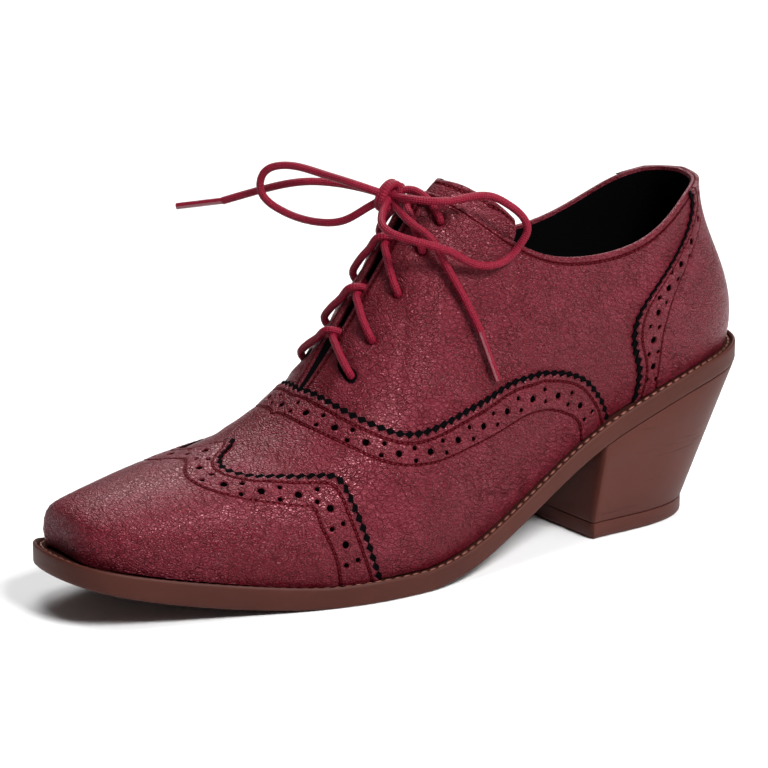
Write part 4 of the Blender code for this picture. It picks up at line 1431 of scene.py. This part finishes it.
class SHOE_OT_upper(bpy.types.Operator):
    """Quarters from the back of the heel to the throat, with rolled edges, eyelets, lining and stitches"""

    bl_idname = "shoe.upper"
    bl_label = "Quarters"

    def execute(self, context):
        sizes = context.scene.shoe_sizes
        half = np.concatenate([np.linspace(a, b, n, endpoint=False) for a, b, n in QUARTER_SPANS]
                              + [[QUARTER_SPANS[-1][1]]])
        along = np.concatenate([half[::-1], half[1:]])
        side = np.where(np.arange(len(along)) < len(half), LATERAL, MEDIAL)
        top = np.where(side == LATERAL, top_edge(LATERAL, along), top_edge(MEDIAL, along))
        near = both_sides(side, along, top - 0.02, 0.0)
        per_mm = 0.02 / np.linalg.norm(both_sides(side, along, top, 0.0) - near, axis=-1)
        roll = np.array(TOP_ROLL)
        roll_climb = top - roll[:, :1] * per_mm
        wall_climb = np.linspace(0, 1, UPPER_ROWS, endpoint=False)[:, None] * roll_climb[0]
        inside_climb = np.linspace(1, 0, LINING_ROWS)[:, None] * roll_climb[-1]
        climb = np.concatenate([wall_climb, roll_climb, inside_climb])
        off = np.concatenate([np.zeros(UPPER_ROWS), roll[:, 1], np.full(LINING_ROWS, -WALL)])[:, None]
        along, side = (np.broadcast_to(values, climb.shape) for values in (along, side))
        off = off + relief(side, along, climb) * (off > -0.8)
        edge = (top - climb) / per_mm + 0.5
        hole = eyelet_distance(side, along, climb) - EYELET_HOLE
        points = both_sides(side, along, climb, off)
        seam = edge - 0.5 - COLLAR_STITCH
        marks = {"edge": edge, "hole": hole, "seam": seam, "inner": np.full_like(edge, NO_HOLE)}
        bm = bent_grid(points, marks, UPPER_ROWS + len(TOP_ROLL), closed=True)
        finishes = [finish_of("leather", context), finish_of("lining", context)]
        add_piece("quarters", close_up(bm), finishes, ["upper"])
        self.toe_lining(context)
        stitches = []
        for which in (LATERAL, MEDIAL):
            run = np.linspace(COLLAR_STITCH_START, FACING_STITCH_END, 700)
            stitches += self.edge_stitches(which, run, sizes)
        sew("collar_stitches", stitches, finish_of("thread", context))
        return {"FINISHED"}

    def edge_stitches(self, side, along, sizes):
        """Stitches at an even distance below the collar and beside the facing."""
        top = top_edge(side, along)
        edge = last(side, along, top)
        rise = edge - last(side, along, top - 0.01)
        per_climb = np.linalg.norm(rise, axis=-1) / 0.01
        slant = np.linalg.norm(np.cross(unit(rise), unit(np.gradient(edge, axis=0))), axis=-1)
        climb = top - COLLAR_STITCH / (per_climb * np.maximum(slant, 0.45))
        height = relief(np.full(len(along), side), along, climb)
        path = place(skin(side, along, climb, height))
        outside = place(skin(side, along, climb, height + 1))
        return stitch_rows(path, outside, sizes.stitch, STITCH_FILL * sizes.stitch,
                           sizes.stitch_thread / 2, 0.0001)

    def toe_lining(self, context):
        """Lining of the forefoot, under the vamp and the wing cap."""
        share = np.linspace(-1, 1, 81)
        side = np.where(share <= 0, LATERAL, MEDIAL)
        climb = 1 - np.abs(share)
        along = np.linspace(LINING_BACK, PANEL_TOE, 60)[:, None] * np.ones_like(climb)
        side, climb = (np.broadcast_to(values, along.shape) for values in (side, climb))
        outside = both_sides(side, along, climb, -0.2)
        inside = both_sides(side, along, climb, -WALL)[::-1]
        bm = close_up(bent_grid(np.concatenate([outside, inside]), closed=True))
        add_piece("toe_lining", bm, [finish_of("lining", context)])


class SHOE_OT_tongue(bpy.types.Operator):
    """Tongue: an arch under the throat with a stitched top edge"""

    bl_idname = "shoe.tongue"
    bl_label = "Tongue"

    def execute(self, context):
        sizes = context.scene.shoe_sizes
        across = np.linspace(-1, 1, TONGUE_COLUMNS + 1)
        side = np.where(across <= 0, LATERAL, MEDIAL)
        top_along = TONGUE_TIP - np.abs(across) * (TONGUE_TIP - TONGUE_TOP[0][0])
        top = np.where(side == LATERAL, self.top(LATERAL, top_along), self.top(MEDIAL, top_along))
        edge = 1 - np.abs(across) * (1 - TONGUE_EDGE)
        share = np.linspace(0, 1, TONGUE_ROWS + 1)[:, None] ** 1.3

        def spot(share):
            along = top_along + (TONGUE_FOOT - top_along) * share ** TONGUE_FORWARD
            return along, edge + (top - edge) * (1 - share) ** TONGUE_DOWN

        along, climb = spot(share)
        sides = np.broadcast_to(side, along.shape)
        start = both_sides(side, *spot(np.zeros_like(across)), 0.0)
        depth = np.linalg.norm(both_sides(sides, along, climb, 0.0) - start, axis=-1)
        rim = TONGUE / 2 * (1 - np.sqrt(1 - np.clip(1 - depth / (TONGUE / 2), 0, 1) ** 2))
        groove = 0.15 * np.exp(-((depth - COLLAR_STITCH) / STITCH_SINK_WIDTH) ** 2)
        bed, sunk = (self.ironed(both_sides(sides, along, climb, off)) for off in (0.0, -1.0))
        inward = unit(sunk - bed)
        outside = bed + inward * (TONGUE_DROP + rim + groove)[..., None]
        inside = (bed + inward * (TONGUE_DROP + TONGUE - rim)[..., None])[::-1]
        plain = np.full((2 * len(depth), len(across)), NO_HOLE)
        depths = np.concatenate([depth, depth[::-1]])
        marks = {"edge": depths + 0.5, "hole": plain, "seam": depths - COLLAR_STITCH, "inner": plain}
        bm = bent_grid(np.concatenate([outside, inside]), marks, len(depth), closed=True)
        finishes = [finish_of("leather", context), finish_of("lining", context)]
        add_piece("tongue_leather", close_up(bm), finishes, ["tongue"])
        line = np.array([np.interp(COLLAR_STITCH, depth[:, k], share[:, 0]) for k in range(len(across))])
        column = np.arange(len(across))
        down = share[:, 0]
        path = np.stack([[np.interp(line[k], down, outside[:, k, i]) for i in range(3)] for k in column])
        above = path - np.stack([inward[np.argmin(np.abs(down - line[k])), k] for k in column])
        path, above = place(path), place(above)
        stitches = stitch_rows(path, above, sizes.stitch, STITCH_FILL * sizes.stitch,
                               sizes.stitch_thread / 2, 0.0001)
        sew("tongue_stitches", stitches, finish_of("thread", context))
        return {"FINISHED"}

    def ironed(self, points):
        """Rows of points with the crease of the last at the front of the collar smoothed out."""
        points = points.copy()
        for _ in range(TONGUE_IRONING):
            points[:, 1:-1] = (points[:, :-2] + 2 * points[:, 1:-1] + points[:, 2:]) / 4
        return points

    def top(self, side, along):
        """How far up each rib the tongue reaches."""
        climb = np.linspace(0, 1, TRIM_STEPS)
        heights = last(side, along[:, None], climb[None, :])[..., 2]
        limits = spline(TONGUE_TOP, 1, along)
        cut = [np.interp(limit, np.maximum.accumulate(row), climb) for limit, row in zip(limits, heights)]
        return np.where(along >= TONGUE_TIP, 1.0, cut)


def sole_level(station, above):
    """Height above the underside; the upper half of the edge follows the sole's top."""
    share = np.clip((above - TREAD_EDGE) / (SEAT_EDGE - TREAD_EDGE), 0, 1)
    seat = sole_top(station) - SOLE_THICKNESS
    return underside(station) * (1 - share) + seat * share + above


def sole_ring(inset, above):
    """Closed ring round the sole, set in from its edge, at a height above its underside."""
    under_upper = np.clip((inset - WELT_STITCH_INSET) / (WELT_WIDTH - WELT_STITCH_INSET), 0, 1)
    loop = OUTLINE - (inset + under_upper * toe_setback(OUTLINE[:, :1])) * OUTLINE_NORMAL
    pick = np.linspace(0, OUTLINE_POINTS, SOLE_COLUMNS + 1).astype(int) % OUTLINE_POINTS
    loop = loop[pick]
    return np.column_stack([loop, sole_level(loop[:, 0], above)])


def sole_lid(inset, above, crown=0.0):
    """Plate across the sole inside a ring: rows from the back to the toe, columns from side to side."""
    ring = sole_ring(inset, above)
    half = SOLE_COLUMNS // 2
    lateral = ring[:half + 1]
    medial = ring[::-1][:half + 1]
    share = np.linspace(0, 1, SOLE_ACROSS + 1)[None, :, None]
    plate = lateral[:, None] + (medial - lateral)[:, None] * share
    plate[..., 2] = sole_level(plate[..., 0], above) + crown * np.sin(pi * share[..., 0]) ** 0.5
    return plate


class SHOE_OT_sole(bpy.types.Operator):
    """Outsole with its lip, the stitched strip in the groove and the insole"""

    bl_idname = "shoe.sole"
    bl_label = "Sole"

    def execute(self, context):
        sizes = context.scene.shoe_sizes
        wall = bent_grid(np.stack([sole_ring(*row) for row in SOLE_EDGE]))
        tread = bent_grid(sole_lid(*SOLE_EDGE[0]))
        bed = bent_grid(sole_lid(*SOLE_EDGE[-1]))
        rubber = [finish_of("sole", context)]
        add_piece("outsole_rubber", close_up(merge([wall, tread, bed])), rubber, ["outsole"])
        strip = bent_grid(np.stack([sole_ring(*row) for row in WELT]), closed=True)
        add_piece("welt_strip", close_up(strip), [finish_of("welt", context)], ["welt"])
        path = place(sole_ring(WELT_STITCH_INSET, WELT_STITCH_HEIGHT))
        above = place(sole_ring(WELT_STITCH_INSET, WELT_STITCH_HEIGHT + 1))
        rows = stitch_rows(path, above, sizes.welt_stitch, 0.8 * sizes.welt_stitch,
                           sizes.welt_thread / 2, 0.0)
        sew("welt_stitches", rows, finish_of("welt thread", context))
        top = bent_grid(sole_lid(INSOLE_INSET, INSOLE_TOP, INSOLE_CROWN))
        low = bent_grid(sole_lid(INSOLE_INSET, INSOLE_BOTTOM))
        rim = bent_grid(np.stack([sole_ring(INSOLE_INSET, level) for level in (INSOLE_BOTTOM, INSOLE_TOP)]))
        sock = [finish_of("lining", context)]
        add_piece("insole_sock", close_up(merge([top, low, rim])), sock, ["insole"])
        return {"FINISHED"}


class SHOE_OT_heel(bpy.types.Operator):
    """Block heel with its fine lines, and the lift under it"""

    bl_idname = "shoe.heel"
    bl_label = "Heel"

    def execute(self, context):
        seat = self.plan()
        back = seat[:, 0].min()
        share = (seat[:, 0] - back) / (HEEL_BREAST - back)
        floor = np.stack([HEEL_BACK_FLOOR + share * (HEEL_BREAST_FLOOR - HEEL_BACK_FLOOR),
                          seat[:, 1] * HEEL_NARROWING], 1)
        top = underside(seat[:, 0]) - HEEL_SEAT
        rings = []
        for drop, inset in HEEL_STEPS:
            plan = seat + (floor - seat) * drop
            rings.append(np.column_stack([self.inset(plan, inset), top + (HEEL_LIFT - top) * drop]))
        stack = [finish_of("heel", context)]
        add_piece("heel_block", close_up(bent_grid(np.stack(rings))), stack, ["heel"])
        rings = [np.column_stack([self.inset(floor, inset), np.full(len(floor), height)])
                 for height, inset in LIFT_STEPS]
        add_piece("heel_top_piece", close_up(bent_grid(np.stack(rings))), stack, ["heel_lift"])
        return {"FINISHED"}

    def plan(self):
        """Closed plan of the heel at the sole: round the back, then across the breast."""
        halves = []
        for order in (np.arange(OUTLINE_POINTS), -np.arange(OUTLINE_POINTS)):
            points = (OUTLINE - HEEL_INSET * OUTLINE_NORMAL)[order]
            corner = np.argmax(points[:, 0] > HEEL_BREAST)
            pick = np.linspace(0, corner, HEEL_CURVE_POINTS + 1)
            steps = np.arange(corner + 1)
            halves.append(np.stack([np.interp(pick, steps, points[:corner + 1, k]) for k in (0, 1)], 1))
        breast = np.linspace(halves[0][-1], halves[1][-1], HEEL_BREAST_POINTS + 2)[1:-1]
        loop = np.vstack([halves[0], breast, halves[1][:0:-1]])
        for _ in range(HEEL_CORNER):
            loop = (np.roll(loop, 1, 0) + 2 * loop + np.roll(loop, -1, 0)) / 4
        return np.vstack([loop, loop[:1]])

    def inset(self, loop, amount):
        """Closed plan loop set in by an amount."""
        tangent = np.roll(loop[:-1], -1, 0) - np.roll(loop[:-1], 1, 0)
        normal = unit(np.stack([tangent[:, 1], -tangent[:, 0]], 1))
        moved = loop[:-1] - amount * normal
        return np.vstack([moved, moved[:1]])


def strand(side, row):
    """Way of the lace from an eyelet over its facing and under the other one to the next eyelet up."""
    eyelet = EYELET_FIRST - row * EYELET_PITCH
    crossing = LACE_OVER if side == MEDIAL else LACE_UNDER
    rows = [(side, eyelet - share * EYELET_PITCH, EYELET_CLIMB + climb, off)
            for climb, share, off in LACE_RISE]
    rows += [(side, eyelet - share * EYELET_PITCH, climb, off) for climb, share, off in crossing]
    rows += [(-side, eyelet - share * EYELET_PITCH, EYELET_CLIMB + climb, off)
             for climb, share, off in LACE_RETURN]
    return rows


def knot_frame():
    """Middle of the knot, and its directions across the foot, up the throat and off it."""
    middle, off_it, above = (skin(LATERAL, KNOT_ALONG - step, 1.0, lift)
                             for step, lift in ((0, KNOT_LIFT), (0, KNOT_LIFT + 1), (0.01, KNOT_LIFT)))
    off = off_it - middle
    across = unit(np.cross(off, above - middle))
    return middle, across, np.cross(across, off), off


def from_knot(towards):
    """Where a cord leaves the knot on its way to a point."""
    middle = knot_frame()[0]
    return middle + unit(np.asarray(towards, float) - middle) * KNOT_REACH


class SHOE_OT_lace(bpy.types.Operator):
    """Lace through the eyelets, crossing over the tongue from row to row up to the knot"""

    bl_idname = "shoe.lace"
    bl_label = "Lace"

    def execute(self, context):
        radius = in_mm(context.scene.shoe_sizes.lace) / 2
        top = EYELET_FIRST - (EYELET_ROWS - 1) * EYELET_PITCH
        parts = []
        for start in (LATERAL, MEDIAL):
            side = start
            rows = [(side, EYELET_FIRST + share * EYELET_PITCH, climb, off)
                    for climb, share, off in LACE_START]
            for row in range(EYELET_ROWS - 1):
                rows += strand(side, row)
                side = -side
            rows += [(side, top, EYELET_CLIMB + climb, off) for climb, share, off in LACE_RISE[:4]]
            rows += [(side, *spot) for spot in TOP_STRAND]
            path = np.vstack([off_leather(rows), knot_frame()[0]])
            parts.append(tube(smooth_path(path, LACE_SPACING), radius, LACE_SIDES))
        nodes = [f"lace_crossing_{row}" for row in range(1, EYELET_ROWS)] + ["lace_bar_top"]
        add_piece("lace_crossings", merge(parts), [finish_of("lace", context)], nodes)
        return {"FINISHED"}


class SHOE_OT_bow(bpy.types.Operator):
    """Knot with two loops and two tipped ends"""

    bl_idname = "shoe.bow"
    bl_label = "Bow"

    def execute(self, context):
        sizes = context.scene.shoe_sizes
        cord = [finish_of("lace", context)]
        radius = in_mm(sizes.lace) / 2
        middle, across, up, off = knot_frame()
        turn = np.linspace(0, 2 * pi, 49)[:, None]
        wraps = []
        for shift, half_up, half_off, slant in KNOT_WRAPS:
            ring = middle + across * (shift + slant * np.sin(turn)) + up * half_up * np.cos(turn)
            wraps.append(tube(ring + off * half_off * np.sin(turn), radius, LACE_SIDES, looped=True))
        knot = add_piece("lace_knot_wraps", merge(wraps), cord, ["lace_knot"])
        lateral_loop = off_leather([(LATERAL, *row) for row in LATERAL_LOOP])
        for name, route in (("lateral", lateral_loop), ("medial", np.array(MEDIAL_LOOP))):
            path = smooth_path(np.vstack([from_knot(route[0]), route, from_knot(route[-1])]), LACE_SPACING)
            node = f"lace_loop_{name}"
            piece = add_piece(f"{node}_cord", tube(path, radius, LACE_SIDES), cord, [node])
            with_pieces = [knot] if name == "lateral" else []
            self.declare(piece, path, sizes, "knot", with_pieces)
        lateral_end = off_leather([(LATERAL, *row) for row in LATERAL_END])
        lateral_aim = off_leather([(LATERAL, *LATERAL_TIP_END)])[0]
        medial_end = np.array(MEDIAL_END)
        medial_aim = np.array(MEDIAL_TIP_END)
        for name, route, aim in (("lateral", lateral_end, lateral_aim), ("medial", medial_end, medial_aim)):
            path = smooth_path(np.vstack([from_knot(route[0]), route]), LACE_SPACING)
            node = f"lace_end_{name}"
            piece = add_piece(f"{node}_cord", tube(path, radius, LACE_SIDES), cord, [node])
            tip = self.tip(context, name, route[-1], unit(aim - route[-1]))
            self.declare(piece, path, sizes, "fitting", [tip])
        return {"FINISHED"}

    def tip(self, context, name, start, way):
        """Film-wrapped end of the lace, with a rounded point."""
        radius = in_mm(context.scene.shoe_sizes.lace_tip) / 2
        path = start + way * np.linspace(-0.8, LACE_TIP_LENGTH, 24)[:, None]
        bm = tube(path, radius, LACE_SIDES)
        node = f"lace_tip_{name}"
        return add_piece(f"{node}_film", bm, [finish_of("lace tip", context)], [node])

    def declare(self, piece, path, sizes, far_end, with_pieces):
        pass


class SHOE_OT_stage(bpy.types.Operator):
    """Pale floor, soft studio light and the camera at the photo's angle"""

    bl_idname = "shoe.stage"
    bl_label = "Stage"

    def execute(self, context):
        scene = context.scene
        bm = bmesh.new()
        bmesh.ops.create_grid(bm, x_segments=8, y_segments=8, size=FLOOR_HALF)
        mesh = bpy.data.meshes.new("floor")
        bm.to_mesh(mesh)
        bm.free()
        mesh.materials.append(finish_of("floor", context))
        floor = bpy.data.objects.new("floor", mesh)
        scene.collection.objects.link(floor)
        for name, spot, size, power in STUDIO_LIGHTS:
            light = bpy.data.lights.new(name, "AREA")
            light.shape = "RECTANGLE"
            light.size, light.size_y = size
            light.energy = power
            lamp = bpy.data.objects.new(name, light)
            lamp.location = spot
            aim = Vector(BACKDROP_AIM if name == "backdrop" else STUDIO_AIM)
            lamp.rotation_euler = (aim - Vector(spot)).to_track_quat("-Z", "Y").to_euler()
            scene.collection.objects.link(lamp)
        scene.world = bpy.data.worlds.new("studio")
        scene.world.use_nodes = True
        sky = scene.world.node_tree.nodes["Background"]
        sky.inputs["Color"].default_value = (1.0, 1.0, 1.0, 1.0)
        sky.inputs["Strength"].default_value = STUDIO_AMBIENT
        scene.view_settings.view_transform = "Standard"
        self.camera(scene)
        return {"FINISHED"}

    def camera(self, scene):
        lens = bpy.data.cameras.new("camera")
        lens.sensor_width = CAMERA_SENSOR
        lens.lens = CAMERA_LENS
        camera = bpy.data.objects.new("camera", lens)
        level = np.cos(CAMERA_ELEVATION)
        back = Vector((np.sin(CAMERA_AZIMUTH) * level, -np.cos(CAMERA_AZIMUTH) * level,
                       np.sin(CAMERA_ELEVATION)))
        camera.location = (Vector(CAMERA_AIM) + back * CAMERA_DISTANCE) * MM
        camera.rotation_euler = back.to_track_quat("Z", "Y").to_euler()
        scene.collection.objects.link(camera)
        scene.camera = camera


class SHOE_PT_panel(bpy.types.Panel):
    """Makes the shoe piece by piece"""

    bl_idname = "SHOE_PT_panel"
    bl_label = "Wing-tip shoe"
    bl_space_type = "VIEW_3D"
    bl_region_type = "UI"
    bl_category = "Shoe"

    def draw(self, context):
        for group in (context.scene.shoe_sizes, context.scene.shoe_colours):
            box = self.layout.box()
            for name in group.__annotations__:
                box.prop(group, name)
        for operator in OPERATORS:
            self.layout.operator(operator.bl_idname)


OPERATORS = (
    SHOE_OT_bow,
    SHOE_OT_lace,
    SHOE_OT_upper,
    SHOE_OT_panels,
    SHOE_OT_tongue,
    SHOE_OT_sole,
    SHOE_OT_heel,
    SHOE_OT_stage,
)
CLASSES = (ShoeSizes, ShoeColours, *OPERATORS, SHOE_PT_panel)


def register():
    for item in CLASSES:
        bpy.utils.register_class(item)
    bpy.types.Scene.shoe_sizes = PointerProperty(type=ShoeSizes)
    bpy.types.Scene.shoe_colours = PointerProperty(type=ShoeColours)


def unregister():
    del bpy.types.Scene.shoe_colours
    del bpy.types.Scene.shoe_sizes
    for item in reversed(CLASSES):
        bpy.utils.unregister_class(item)


def main():
    register()
    for operator in OPERATORS:
        group, name = operator.bl_idname.split(".")
        getattr(getattr(bpy.ops, group), name)()


if __name__ == "__main__":
    main()
